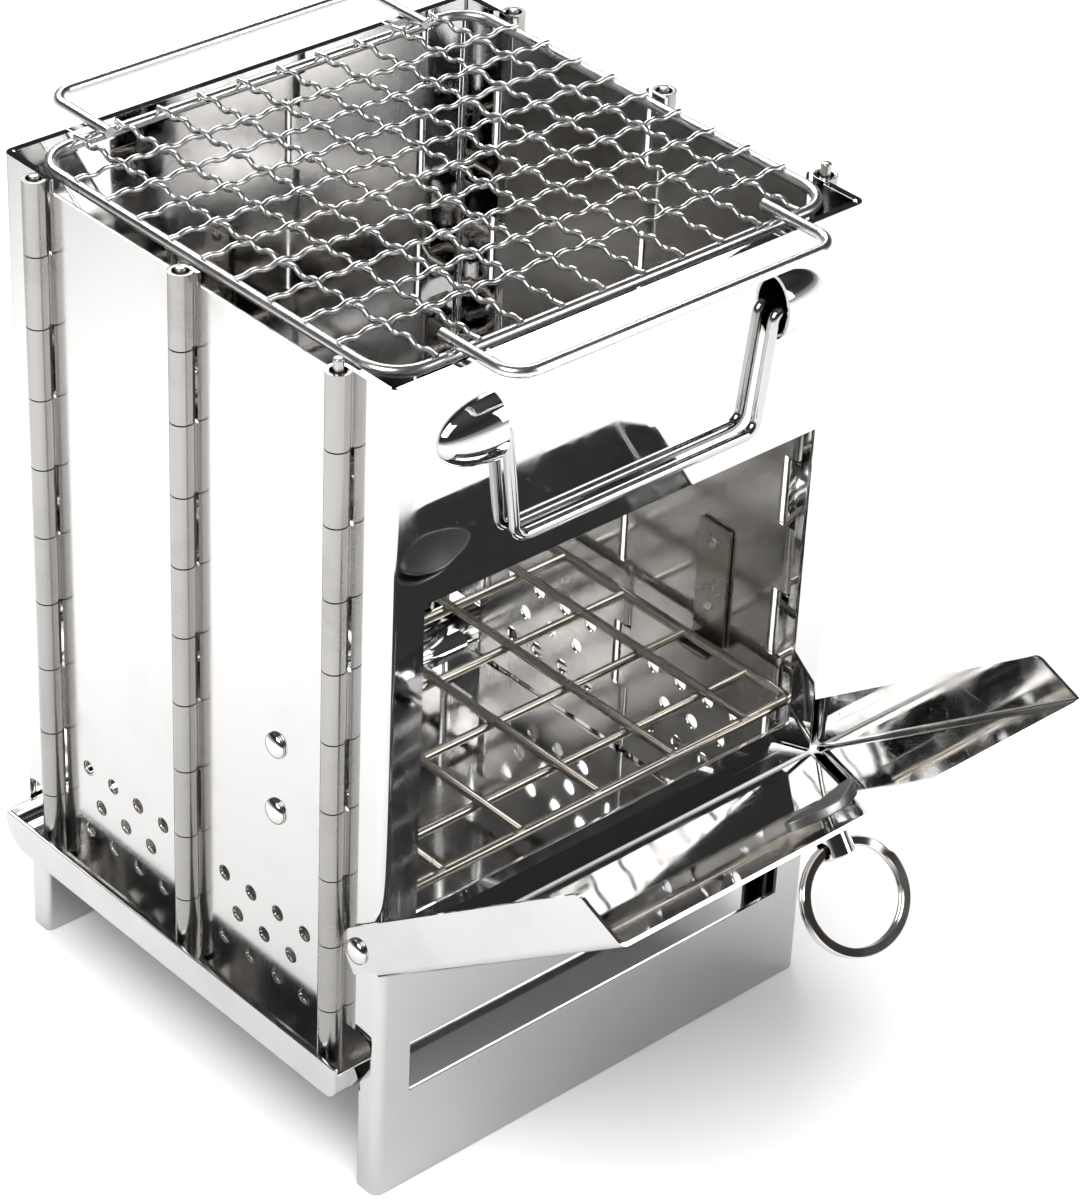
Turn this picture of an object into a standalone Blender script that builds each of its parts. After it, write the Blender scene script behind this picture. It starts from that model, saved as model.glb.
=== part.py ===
"""Folding wood stove of stainless sheet and wire, in metres, +Z up, its front facing -Y.

A front and a back panel are joined at each side by two wall leaves on piano hinges. An ash
tray lies in notches of the panels, a wire grate hangs on brackets over it, and a woven wire
grill lies on top. The feed door hangs on two rivets and stands open as a chute.
"""
from math import acos, cos, degrees, pi, radians, sin, sqrt

import bmesh
import bpy
from mathutils import Matrix, Vector

# Overall sizes
WIDTH = 0.1430           # over the front panel's flanges
DEPTH = 0.1410           # front panel's face to back panel's face
HEIGHT = 0.2250          # floor to the panels' top edges

# Sheet and clearances
SHEET = 0.0010
BEND_RADIUS = 0.0026     # outside radius of the panels' vertical bends
GAP = 0.0003             # between pieces that touch

# Piano hinges
EYE_RADIUS = 0.0030
PIN_RADIUS = 0.0013
PIN_CLEARANCE = 0.0004      # between a pin and its bore
CORNER_PIN_INSET = 0.0155   # panel face to the corner hinge's axis
KNUCKLES = 10
HINGE_RISE = 0.0020         # tray's underside to the leaves' lower edges
KNUCKLE_CLEARANCE = 0.0002  # between a knuckle and the sheet edge beside it
FRONT_PIN_STAND = 0.0030    # pin ends above the panel's top edge
OTHER_PIN_STAND = 0.0008
LEAF_TOP_DROP = 0.0030      # leaf's top edge below the panel's

# Vent holes and rivets of the leaves
VENT_RADIUS = 0.0021
VENT_PITCH = 0.0102
VENT_ROW_PITCH = 0.0095
VENT_RISE = 0.0130          # leaf's lower edge to the lowest row
VENT_ROWS = (4, 3, 4)
LEAF_RIVET_INSET = 0.0230   # corner hinge axis to the rivets
LEAF_RIVET_RISES = (0.0094, 0.0284)   # grate's axis to the rivets

# Rivets
RIVET_HEAD_RADIUS = 0.0034
RIVET_HEAD_HEIGHT = 0.0016
RIVET_SHANK_RADIUS = 0.0016
RIVET_TAIL_RADIUS = 0.0026
RIVET_TAIL_HEIGHT = 0.0009

# Legs and notches of the panels
LEG_DEPTH = 0.0080
LEG_RETURN = 0.0145         # flange's outside to the return's free edge
LEG_RETURN_SHORT = 0.0002   # return ends above the floor by this
NOTCH_RISE = 0.0170         # tray's underside to the notches' upper edges
NOTCH_FILLET = 0.0030
FRONT_NOTCH_REACH = 0.0028
BACK_NOTCH_REACH = 0.0012
NOTCH_FLOOR_RISE = 0.0088   # tray's underside to the top of the front notch's slope

# Feed window and air slot
WINDOW_MARGIN = 0.01075     # panel's side to the window
WINDOW_BOTTOM = 0.0820
WINDOW_TOP = 0.1675
SLOT_MARGIN = 0.0100
SLOT_DROP = 0.0015          # tray's underside to the slot's lower edge
SLOT_HEIGHT = 0.0152

# Ash tray
TRAY_BOTTOM = 0.0300
TRAY_OVERHANG = 0.0075      # beyond the side walls' outer faces
TRAY_FRONT = 0.0068         # front panel's face to the tray's front end
TRAY_REAR = 0.0017          # back panel's face to the tray's rear end
TRAY_FRONT_RADIUS = 0.0035
TRAY_REAR_RADIUS = 0.0080
TRAY_FRONT_RISE = 0.0075
TRAY_LIP = 0.0095

# Door
DOOR_PIVOT_INSET = 0.0063   # front panel's face to the door's axis
DOOR_PIVOT_HEIGHT = 0.0729
DOOR_OPEN_ANGLE = radians(36.3)   # above the level, when open
DOOR_REACH = 0.1015         # axis to the plate's free edge
DOOR_REAR = 0.0035          # axis to the plate's edge at the stove
CHEEK_CLEARANCE = 0.0004    # shut cheek's free edge to the hinge knuckles
DOOR_CHEEK_HEEL = 0.0056    # radius of the cheek's end round the axis
DOOR_CHEEK_SLANT = 0.0060
DOOR_CHEEK_FILLET = 0.0040
DOOR_BEND_RADIUS = 0.0020
DOOR_SIDE_GAP = 0.0005

# Turn latch and its ring
LATCH_INSET = 0.0125        # plate's free edge to the latch's axis
LATCH_HALF_LENGTH = 0.0105
LATCH_HALF_WIDTH = 0.0042
LATCH_THICKNESS = 0.0015
LATCH_NECK_RADIUS = 0.0016
LATCH_HEAD_RADIUS = 0.0026
LATCH_HEAD_HEIGHT = 0.0008
STEM_RADIUS = 0.0031
STEM_LENGTH = 0.0072
RING_CLEARANCE = 0.00065    # between the ring's wire and its hole
STEM_HOLE_PLACE = 0.0046    # door's underside to the cross hole
RING_RADIUS = 0.0128
RING_WIRE_RADIUS = 0.00105

# Carrying handle and its pressed pockets
BAIL_WIRE_RADIUS = 0.0014
BAIL_BELOW_TOP = 0.0180     # panel's top edge to the wire's axis
BAIL_STANDOFF = 0.0026      # front panel's face to the wire's axis
BAIL_TOP_HALF = 0.0406
BAIL_BOTTOM_HALF = 0.0376
BAIL_DROP = 0.0300
BAIL_FILLET = 0.0040
BAIL_TONGUE = 0.0090        # wire's end inside the pocket
POCKET_MOUTH_GAP = 0.0006
POCKET_LENGTH = 0.0160
POCKET_HALF_HEIGHT = 0.0085
POCKET_DEPTH = 0.0062
POCKET_WALL = 0.0010

# Grill
GRILL_SIDE_INSET = 0.0045   # panel's side to the frame wire's axis
GRILL_END_INSET = 0.0060    # panels' faces to the frame wire's axis
GRILL_CORNER = 0.0100
GRILL_FRAME_RADIUS = 0.0014
GRILL_WIRE_RADIUS = 0.0009
GRILL_LONG_PITCH = 0.0121
GRILL_CROSS_PITCH = 0.0118
WELD_SINK = 0.0006          # how far welded wires sink into each other
GRILL_HANDLE_HALF = 0.0485
GRILL_HANDLE_REACH = 0.0190
GRILL_HANDLE_TAIL = 0.0050
GRILL_HANDLE_FILLET = 0.0060

# Grate and its brackets
GRATE_SIDE_INSET = 0.0057   # panel's side to the frame wire's axis
GRATE_FRONT = 0.0052        # front panel's face to the front wire's axis
GRATE_REAR = 0.0085
GRATE_AXIS_HEIGHT = 0.0846
GRATE_FRAME_RADIUS = 0.0014
GRATE_WIRE_RADIUS = 0.0012
GRATE_LONG_PITCH = 0.0247
GRATE_FIRST_CROSS = 0.0150
GRATE_CROSS_PITCH = 0.0228
GRATE_CORNER = 0.0030
BRACKET_HALF_WIDTH = 0.0055
BRACKET_SHELF = 0.0065
BRACKET_ABOVE_RIVET = 0.0050
BACK_BRACKET_PLACE = 0.0350
BACK_BRACKET_SHELF = 0.0110
BACK_RIVET_RISE = 0.0114    # grate's axis to the rivets

# Sides that follow from the sizes above
HALF = WIDTH / 2
BORE_RADIUS = PIN_RADIUS + PIN_CLEARANCE
SHEET_CLEARANCE = EYE_RADIUS + KNUCKLE_CLEARANCE   # hinge axis to the sheet edge beside a knuckle
HINGE_BOTTOM = TRAY_BOTTOM + HINGE_RISE
NOTCH_TOP = TRAY_BOTTOM + NOTCH_RISE
SLOT_BOTTOM = TRAY_BOTTOM - SLOT_DROP
LEAF_RIVET_HEIGHTS = [GRATE_AXIS_HEIGHT + rise for rise in LEAF_RIVET_RISES]
BACK_RIVET_HEIGHT = GRATE_AXIS_HEIGHT + BACK_RIVET_RISE
DOOR_CHEEK_TOP = CORNER_PIN_INSET - EYE_RADIUS - DOOR_PIVOT_INSET - CHEEK_CLEARANCE
LATCH_PLACE = DOOR_REACH - LATCH_INSET
STEM_HOLE_RADIUS = RING_WIRE_RADIUS + RING_CLEARANCE
BAIL_AXIS_HEIGHT = HEIGHT - BAIL_BELOW_TOP
GRILL_HALF_WIDTH = HALF - GRILL_SIDE_INSET
GRILL_LENGTH = DEPTH - 2 * GRILL_END_INSET
GRATE_HALF_WIDTH = HALF - GRATE_SIDE_INSET
MIDDLE_PIN = DEPTH / 2
PIN_PLACES = {"front": CORNER_PIN_INSET, "middle": MIDDLE_PIN, "rear": DEPTH - CORNER_PIN_INSET}
EYE_CENTRE = HALF - SHEET + EYE_RADIUS
KNUCKLE_PITCH = (HEIGHT - HINGE_BOTTOM) / KNUCKLES
DOOR_INNER = DOOR_PIVOT_INSET + GAP + 0.0001
GRATE_SEAT = GRATE_AXIS_HEIGHT - GRATE_FRAME_RADIUS - GAP
GRILL_AXIS_HEIGHT = HEIGHT - LEAF_TOP_DROP + GAP + GRILL_FRAME_RADIUS + GAP

STEEL = (0.72, 0.71, 0.70)
DULL_STEEL = (0.60, 0.59, 0.57)
RING_STEEL = (0.66, 0.64, 0.61)


def clear_scene():
    for old in list(bpy.data.objects):
        bpy.data.objects.remove(old)


def new_collection(name):
    made = bpy.data.collections.new(name)
    bpy.context.scene.collection.children.link(made)
    return made


def steel(name, colour, roughness):
    material = bpy.data.materials.new(name)
    material.use_nodes = True
    shader = material.node_tree.nodes["Principled BSDF"]
    shader.inputs["Base Color"].default_value = (*colour, 1)
    shader.inputs["Metallic"].default_value = 1.0
    shader.inputs["Roughness"].default_value = roughness
    return material


def finish_piece(piece, colour=STEEL, roughness=0.12):
    """Give the piece its material, and smooth shading between its sharp edges."""
    piece.data.materials.clear()
    piece.data.materials.append(steel(f"{piece.name}_steel", colour, roughness))
    piece.data.shade_smooth()
    piece.data.set_sharp_from_angle(angle=radians(35))
    return piece


def object_from(bm, name, collection):
    mesh = bpy.data.meshes.new(name)
    bmesh.ops.recalc_face_normals(bm, faces=bm.faces)
    bm.to_mesh(mesh)
    bm.free()
    piece = bpy.data.objects.new(name, mesh)
    collection.objects.link(piece)
    return piece


def arc(centre, radius, start, end, steps):
    """Points on an arc, both ends included, its angles in degrees."""
    return [
        (centre[0] + radius * cos(radians(start + (end - start) * i / steps)),
         centre[1] + radius * sin(radians(start + (end - start) * i / steps)))
        for i in range(steps + 1)
    ]


def mesh_of_curve(curve_object, name, collection):
    """The curve as a welded mesh object, in place of the curve."""
    graph = bpy.context.evaluated_depsgraph_get()
    graph.update()
    mesh = bpy.data.meshes.new_from_object(curve_object.evaluated_get(graph))
    place = curve_object.matrix_world.copy()
    bpy.data.objects.remove(curve_object)
    bm = bmesh.new()
    bm.from_mesh(mesh)
    bmesh.ops.remove_doubles(bm, verts=bm.verts, dist=1e-6)
    bmesh.ops.transform(bm, matrix=place, verts=bm.verts)
    bpy.data.meshes.remove(mesh)
    return object_from(bm, name, collection)


def plate(name, loops, start, end, collection, place=None):
    """A flat outline with its holes, as a solid from start to end along its own Z."""
    curve = bpy.data.curves.new(name, "CURVE")
    curve.dimensions = "2D"
    curve.fill_mode = "BOTH"
    curve.extrude = (end - start) / 2
    for loop in loops:
        spline = curve.splines.new("POLY")
        spline.points.add(len(loop) - 1)
        for point, (x, y) in zip(spline.points, loop):
            point.co = (x, y, 0, 1)
        spline.use_cyclic_u = True
    flat = bpy.data.objects.new(name, curve)
    collection.objects.link(flat)
    flat.matrix_world = (place or Matrix()) @ Matrix.Translation((0, 0, (start + end) / 2))
    bpy.context.view_layer.update()
    return mesh_of_curve(flat, name, collection)


def box(name, low, high, collection):
    bm = bmesh.new()
    bmesh.ops.create_cube(bm, size=1)
    size = Vector(high) - Vector(low)
    middle = (Vector(high) + Vector(low)) / 2
    bmesh.ops.transform(bm, matrix=Matrix.Translation(middle) @ Matrix.Diagonal((*size, 1)), verts=bm.verts)
    return object_from(bm, name, collection)


def boxes(name, corners, collection):
    """Several boxes as one cutter."""
    bm = bmesh.new()
    for low, high in corners:
        made = bmesh.ops.create_cube(bm, size=1)["verts"]
        size = Vector(high) - Vector(low)
        middle = (Vector(high) + Vector(low)) / 2
        bmesh.ops.transform(bm, matrix=Matrix.Translation(middle) @ Matrix.Diagonal((*size, 1)), verts=made)
    return object_from(bm, name, collection)


def rods(name, places, radius, length, axis, collection, segments=10):
    """Several round rods along X or Y as one cutter, centred on places."""
    turn = Matrix.Rotation(pi / 2, 4, "Y" if axis == "X" else "X")
    bm = bmesh.new()
    for centre in places:
        bmesh.ops.create_cone(
            bm, cap_ends=True, segments=segments, radius1=radius, radius2=radius, depth=length,
            matrix=Matrix.Translation(centre) @ turn)
    return object_from(bm, name, collection)


def wire(name, points, radius, collection, cyclic=False, resolution=1):
    """A round wire through the points, as a welded mesh."""
    curve = bpy.data.curves.new(name, "CURVE")
    curve.dimensions = "3D"
    curve.bevel_depth = radius
    curve.bevel_resolution = resolution
    curve.use_fill_caps = True
    spline = curve.splines.new("POLY")
    spline.points.add(len(points) - 1)
    for point, place in zip(spline.points, points):
        point.co = (*place, 1)
    spline.use_cyclic_u = cyclic
    line = bpy.data.objects.new(name, curve)
    collection.objects.link(line)
    bpy.context.view_layer.update()
    return mesh_of_curve(line, name, collection)


def merge(name, pieces, collection):
    """Several meshes put in one object, still as separate shells."""
    bm = bmesh.new()
    for piece in pieces:
        bm.from_mesh(piece.data)
        bpy.data.objects.remove(piece)
    return object_from(bm, name, collection)


def boolean(piece, other, operation):
    """Cut or join with another object, which becomes a hidden guide."""
    other.hide_render = True
    other.display_type = "WIRE"
    step = piece.modifiers.new(f"{operation.lower()} {other.name}", "BOOLEAN")
    step.operation = operation
    step.solver = "EXACT"
    step.object = other


def turned(name, profile, collection, segments=16):
    """A solid turned about its own Z from (radius, height) points that run from top to bottom."""
    bm = bmesh.new()
    points = [bm.verts.new((r, 0, z)) for r, z in profile]
    for first, second in zip(points, points[1:]):
        bm.edges.new((first, second))
    mesh = bpy.data.meshes.new(name)
    bm.to_mesh(mesh)
    bm.free()
    piece = bpy.data.objects.new(name, mesh)
    collection.objects.link(piece)
    screw = piece.modifiers.new("turn", "SCREW")
    screw.steps = screw.render_steps = segments
    screw.use_merge_vertices = True
    screw.merge_threshold = 1e-6
    return piece


def knuckle_span(number):
    """Bottom and top of a knuckle, counted from the top of the hinge."""
    top = HEIGHT - number * KNUCKLE_PITCH
    return top - KNUCKLE_PITCH, top


def knuckle_zones(numbers, side, low_y, high_y):
    """Boxes round the knuckles that belong to the other side of the hinge."""
    inner, outer = HALF - 2 * SHEET, EYE_CENTRE + EYE_RADIUS + SHEET
    low_x, high_x = sorted((side * inner, side * outer))
    zones = []
    for number in numbers:
        bottom, top = knuckle_span(number)
        first = bottom - (GAP / 2 if number < KNUCKLES - 1 else HINGE_BOTTOM + SHEET)
        last = top + (GAP / 2 if number else SHEET)
        zones.append(((low_x, low_y, first), (high_x, high_y, last)))
    return zones


def eye_meeting():
    """Angle on the eye, from straight outwards, where the sheet's outer face meets it."""
    return degrees(acos((SHEET - EYE_RADIUS) / EYE_RADIUS))


def eye_loop(side, pin_y):
    return arc((side * EYE_CENTRE, pin_y), BORE_RADIUS, 0, 324, 9)


def panel_outline():
    """The panel's plan, its face at y = 0 and a hinge eye at the end of each flange."""
    bend = (HALF - BEND_RADIUS, BEND_RADIUS)
    half = arc(bend, BEND_RADIUS, -90, 0, 4)
    half += arc((EYE_CENTRE, CORNER_PIN_INSET), EYE_RADIUS, -eye_meeting(), 180, 10)
    half += arc(bend, BEND_RADIUS - SHEET, 0, -90, 4)
    return half + [(-x, y) for x, y in reversed(half)]


def mirror_to_back(piece):
    """Turn a panel built with its face at y = 0 into the back one, its face at y = DEPTH."""
    bm = bmesh.new()
    bm.from_mesh(piece.data)
    turned = Matrix.Translation((0, DEPTH, 0)) @ Matrix.Diagonal((1, -1, 1, 1))
    bmesh.ops.transform(bm, matrix=turned, verts=bm.verts)
    bmesh.ops.recalc_face_normals(bm, faces=bm.faces)
    bm.to_mesh(piece.data)
    bm.free()


def side_view(first_x):
    """Place an outline drawn in (y, z) across the stove, starting at first_x."""
    return Matrix(((0, 0, 1, first_x), (1, 0, 0, 0), (0, 1, 0, 0), (0, 0, 0, 1)))


def notch_outline(reach, slope):
    """Side view of what is cut from a panel's flanges at the tray and beside the legs."""
    past = CORNER_PIN_INSET
    fillet = arc((reach + NOTCH_FILLET, NOTCH_TOP - NOTCH_FILLET), NOTCH_FILLET, 90, 180, 4)
    return [(past, NOTCH_TOP)] + fillet + slope + [(LEG_DEPTH, -SHEET), (past, -SHEET)]


def panel(name, reach, slope, parts, cutters):
    """A panel with hinge eyes, notches at the tray and legs with inward returns."""
    made = plate(name, [panel_outline(), eye_loop(1, CORNER_PIN_INSET), eye_loop(-1, CORNER_PIN_INSET)],
                 0, HEIGHT, parts)
    skipped = range(1, KNUCKLES, 2)
    flange_end = CORNER_PIN_INSET - SHEET_CLEARANCE
    zones = knuckle_zones(skipped, 1, flange_end, 2 * CORNER_PIN_INSET)
    zones += knuckle_zones(skipped, -1, flange_end, 2 * CORNER_PIN_INSET)
    across = (-HALF - SHEET, HALF + SHEET)
    made_cutters = [
        boxes(f"{name}_knuckle_zones", zones, cutters),
        plate(f"{name}_notch", [notch_outline(reach, slope)], *across, cutters, side_view(0)),
    ]
    returns = boxes(f"{name}_returns", [
        ((min(side * (HALF - SHEET / 2), side * (HALF - LEG_RETURN)), LEG_DEPTH - SHEET, LEG_RETURN_SHORT),
         (max(side * (HALF - SHEET / 2), side * (HALF - LEG_RETURN)), LEG_DEPTH - GAP / 4, TRAY_BOTTOM - GAP))
        for side in (-1, 1)], cutters)
    return made, made_cutters, returns


def pocket(name, side, cutters):
    """A dome pressed out of the panel, open towards the middle of the stove."""
    mouth = BAIL_TOP_HALF + BAIL_WIRE_RADIUS + POCKET_MOUTH_GAP
    domes = []
    for inset in (0, POCKET_WALL):
        bm = bmesh.new()
        bmesh.ops.create_uvsphere(bm, u_segments=16, v_segments=10, radius=1)
        size = (POCKET_LENGTH - inset, POCKET_DEPTH - inset, POCKET_HALF_HEIGHT - inset)
        bmesh.ops.transform(
            bm, matrix=Matrix.Translation((side * mouth, 0, BAIL_AXIS_HEIGHT)) @ Matrix.Diagonal((*size, 1)),
            verts=bm.verts)
        domes.append(object_from(bm, f"{name}_{'inside' if inset else 'outside'}", cutters))
    dome, hollow = domes
    far = side * (mouth + 2 * POCKET_LENGTH)
    keep = box(f"{name}_keep",
               (min(side * mouth, far), -2 * POCKET_DEPTH, BAIL_AXIS_HEIGHT - 2 * POCKET_HALF_HEIGHT),
               (max(side * mouth, far), SHEET / 2, BAIL_AXIS_HEIGHT + 2 * POCKET_HALF_HEIGHT), cutters)
    boolean(dome, keep, "INTERSECT")
    boolean(dome, hollow, "DIFFERENCE")
    return dome


def front_panel(parts, cutters):
    slope = [(FRONT_NOTCH_REACH, TRAY_BOTTOM + NOTCH_FLOOR_RISE), (LEG_DEPTH, TRAY_BOTTOM - GAP)]
    made, made_cutters, returns = panel("front_panel", FRONT_NOTCH_REACH, slope, parts, cutters)
    window_half, slot_half = HALF - WINDOW_MARGIN, HALF - SLOT_MARGIN
    window = box(
        "feed_window", (-window_half, -SHEET, WINDOW_BOTTOM), (window_half, 2 * SHEET, WINDOW_TOP), cutters)
    slot = box("air_slot", (-slot_half, -SHEET, SLOT_BOTTOM),
               (slot_half, 2 * SHEET, SLOT_BOTTOM + SLOT_HEIGHT), cutters)
    rivet_holes = rods("door_rivet_holes_front", [
        (side * (HALF - SHEET / 2), DOOR_PIVOT_INSET, DOOR_PIVOT_HEIGHT) for side in (-1, 1)],
        RIVET_SHANK_RADIUS + GAP, 4 * SHEET, "X", cutters)
    for cutter in (*made_cutters, window, slot, rivet_holes):
        boolean(made, cutter, "DIFFERENCE")
    boolean(made, returns, "UNION")
    for side, label in ((-1, "left"), (1, "right")):
        boolean(made, pocket(f"{label}_pocket", side, cutters), "UNION")
    return finish_piece(made)


def back_panel(parts, cutters):
    inset = TRAY_REAR + TRAY_REAR_RADIUS
    centre = (inset, TRAY_BOTTOM + TRAY_REAR_RADIUS)
    clear_radius = TRAY_REAR_RADIUS + 2 * GAP
    low = degrees(acos((inset - LEG_DEPTH) / clear_radius))
    slope = arc(centre, clear_radius, 180, 180 + low, 5)
    made, made_cutters, returns = panel("back_panel", BACK_NOTCH_REACH, slope, parts, cutters)
    rivet_holes = rods("back_rivet_holes", [
        (side * BACK_BRACKET_PLACE, SHEET / 2, BACK_RIVET_HEIGHT) for side in (-1, 1)],
        RIVET_SHANK_RADIUS + GAP, 4 * SHEET, "Y", cutters)
    for piece in (made, *made_cutters, returns, rivet_holes):
        mirror_to_back(piece)
    for cutter in (*made_cutters, rivet_holes):
        boolean(made, cutter, "DIFFERENCE")
    boolean(made, returns, "UNION")
    return finish_piece(made)


def leaf_outline(side, first_pin, second_pin):
    """A wall leaf's plan, with a hinge eye at each end, in the order front to rear."""
    meeting = eye_meeting()
    rear = arc((EYE_CENTRE, second_pin), EYE_RADIUS, 180, -meeting, 10)
    front = arc((EYE_CENTRE, first_pin), EYE_RADIUS, meeting, -180, 10)
    return [(side * x, y) for x, y in rear + front]


def leaf(name, side, first_pin, second_pin, own_at_first, own_at_second, riveted, parts, cutters):
    """A wall leaf between two hinge axes; own_at_... are the knuckles that it carries there."""
    made = plate(name, [leaf_outline(side, first_pin, second_pin), eye_loop(side, first_pin),
                        eye_loop(side, second_pin)], HINGE_BOTTOM, HEIGHT, parts)
    others = [
        [number for number in range(KNUCKLES) if number not in own]
        for own in (own_at_first, own_at_second)]
    zones = knuckle_zones(others[0], side, first_pin - 2 * EYE_RADIUS, first_pin + SHEET_CLEARANCE)
    zones += knuckle_zones(others[1], side, second_pin - SHEET_CLEARANCE, second_pin + 2 * EYE_RADIUS)
    low_x, high_x = sorted((side * (HALF - 2 * SHEET), side * (HALF + SHEET)))
    top = ((low_x, first_pin + EYE_RADIUS + GAP, HEIGHT - LEAF_TOP_DROP),
           (high_x, second_pin - EYE_RADIUS - GAP, HEIGHT + SHEET))
    middle = (first_pin + second_pin) / 2
    vents = []
    for row, count in enumerate(VENT_ROWS):
        for i in range(count):
            vents.append((side * (HALF - SHEET / 2), middle + (i - (count - 1) / 2) * VENT_PITCH,
                          HINGE_BOTTOM + VENT_RISE + row * VENT_ROW_PITCH))
    boolean(made, boxes(f"{name}_zones", zones + [top], cutters), "DIFFERENCE")
    boolean(made, rods(f"{name}_vents", vents, VENT_RADIUS, 4 * SHEET, "X", cutters), "DIFFERENCE")
    if riveted:
        places = [(side * (HALF - SHEET / 2), first_pin + LEAF_RIVET_INSET, z) for z in LEAF_RIVET_HEIGHTS]
        holes = rods(f"{name}_rivet_holes", places, RIVET_SHANK_RADIUS + GAP, 4 * SHEET, "X", cutters)
        boolean(made, holes, "DIFFERENCE")
    return finish_piece(made, roughness=0.16)


def hinge_pin(name, side, pin_y, stand, parts):
    bm = bmesh.new()
    low, high = HINGE_BOTTOM + GAP, HEIGHT + stand
    bmesh.ops.create_cone(
        bm, cap_ends=True, segments=12, radius1=PIN_RADIUS, radius2=PIN_RADIUS, depth=high - low,
        matrix=Matrix.Translation((0, 0, (low + high) / 2)))
    pin = object_from(bm, name, parts)
    pin.location = (side * EYE_CENTRE, pin_y, 0)
    return finish_piece(pin, DULL_STEEL, 0.25)


def rivet(name, length, place, turn, parts):
    """A dome-headed rivet; its own Z runs out of the head, whose seat is at the origin."""
    dome = [
        (RIVET_HEAD_RADIUS * cos(radians(a)), RIVET_HEAD_HEIGHT * sin(radians(a)))
        for a in (90, 65, 40, 15)
    ]
    profile = [(0.0, RIVET_HEAD_HEIGHT)] + dome[1:] + [
        (RIVET_HEAD_RADIUS, 0), (RIVET_SHANK_RADIUS, 0), (RIVET_SHANK_RADIUS, -length),
        (RIVET_TAIL_RADIUS, -length), (RIVET_TAIL_RADIUS * 0.8, -length - RIVET_TAIL_HEIGHT),
        (0.0, -length - RIVET_TAIL_HEIGHT)]
    made = turned(name, profile, parts, 14)
    made.matrix_world = Matrix.Translation(place) @ turn
    return finish_piece(made)


def facing(side):
    """Turn a piece's own Z to face outwards on the left (-1) or right (+1) wall."""
    return Matrix.Rotation(side * pi / 2, 4, "Y")


def tray_side(grow):
    """Side view of the tray's underside in (y, z), from the front edge to the rear one."""
    front, rear = TRAY_FRONT - grow, DEPTH - TRAY_REAR + grow
    floor = TRAY_BOTTOM - grow
    front_radius, rear_radius = TRAY_FRONT_RADIUS + grow, TRAY_REAR_RADIUS + grow
    side = arc((front + front_radius, floor + front_radius), front_radius, 180, 270, 4)
    side += arc((rear - rear_radius, floor + rear_radius), rear_radius, 270, 360, 6)
    return side


def ash_tray(parts, cutters):
    """A trough whose ends curve up, with a lip along each side."""
    half = HALF + TRAY_OVERHANG
    rear = DEPTH - TRAY_REAR
    front_top, rear_top = TRAY_BOTTOM + TRAY_FRONT_RISE, TRAY_BOTTOM + TRAY_LIP - GAP
    outer = [(TRAY_FRONT, front_top)] + tray_side(0) + [(rear, rear_top)]
    inner = [(TRAY_FRONT + SHEET, front_top)] + tray_side(-SHEET) + [(rear - SHEET, rear_top)]
    trough = plate(
        "ash_tray", [outer + inner[::-1]], -half + SHEET / 2, half - SHEET / 2, parts, side_view(0))
    edge = tray_side(GAP / 5)
    lip_top = TRAY_BOTTOM + TRAY_LIP
    lip = edge + [(edge[-1][0], lip_top), (edge[0][0], lip_top)]
    for side in (-1, 1):
        start = half - SHEET if side > 0 else -half
        boolean(trough, plate(f"tray_lip_{'right' if side > 0 else 'left'}", [lip],
                              start, start + SHEET, cutters, side_view(0)), "UNION")
    return finish_piece(trough, roughness=0.18)


def folded_strip(name, path, start, end, collection):
    """An open path in (x, y) drawn along Z from start to end, given the sheet's thickness."""
    bm = bmesh.new()
    low = [bm.verts.new((x, y, start)) for x, y in path]
    high = [bm.verts.new((x, y, end)) for x, y in path]
    for i in range(len(path) - 1):
        bm.faces.new((low[i], low[i + 1], high[i + 1], high[i]))
    mesh = bpy.data.meshes.new(name)
    bm.to_mesh(mesh)
    bm.free()
    strip = bpy.data.objects.new(name, mesh)
    collection.objects.link(strip)
    wall = strip.modifiers.new("sheet", "SOLIDIFY")
    wall.thickness = SHEET
    wall.offset = -1
    wall.use_even_offset = True
    return strip


def door_frame():
    """The door's own frame: X across, Y towards the stove along the plate, Z up from the plate."""
    pivot = Matrix.Translation((0, DOOR_PIVOT_INSET, DOOR_PIVOT_HEIGHT))
    return pivot @ Matrix.Rotation(-DOOR_OPEN_ANGLE, 4, "X")


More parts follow.
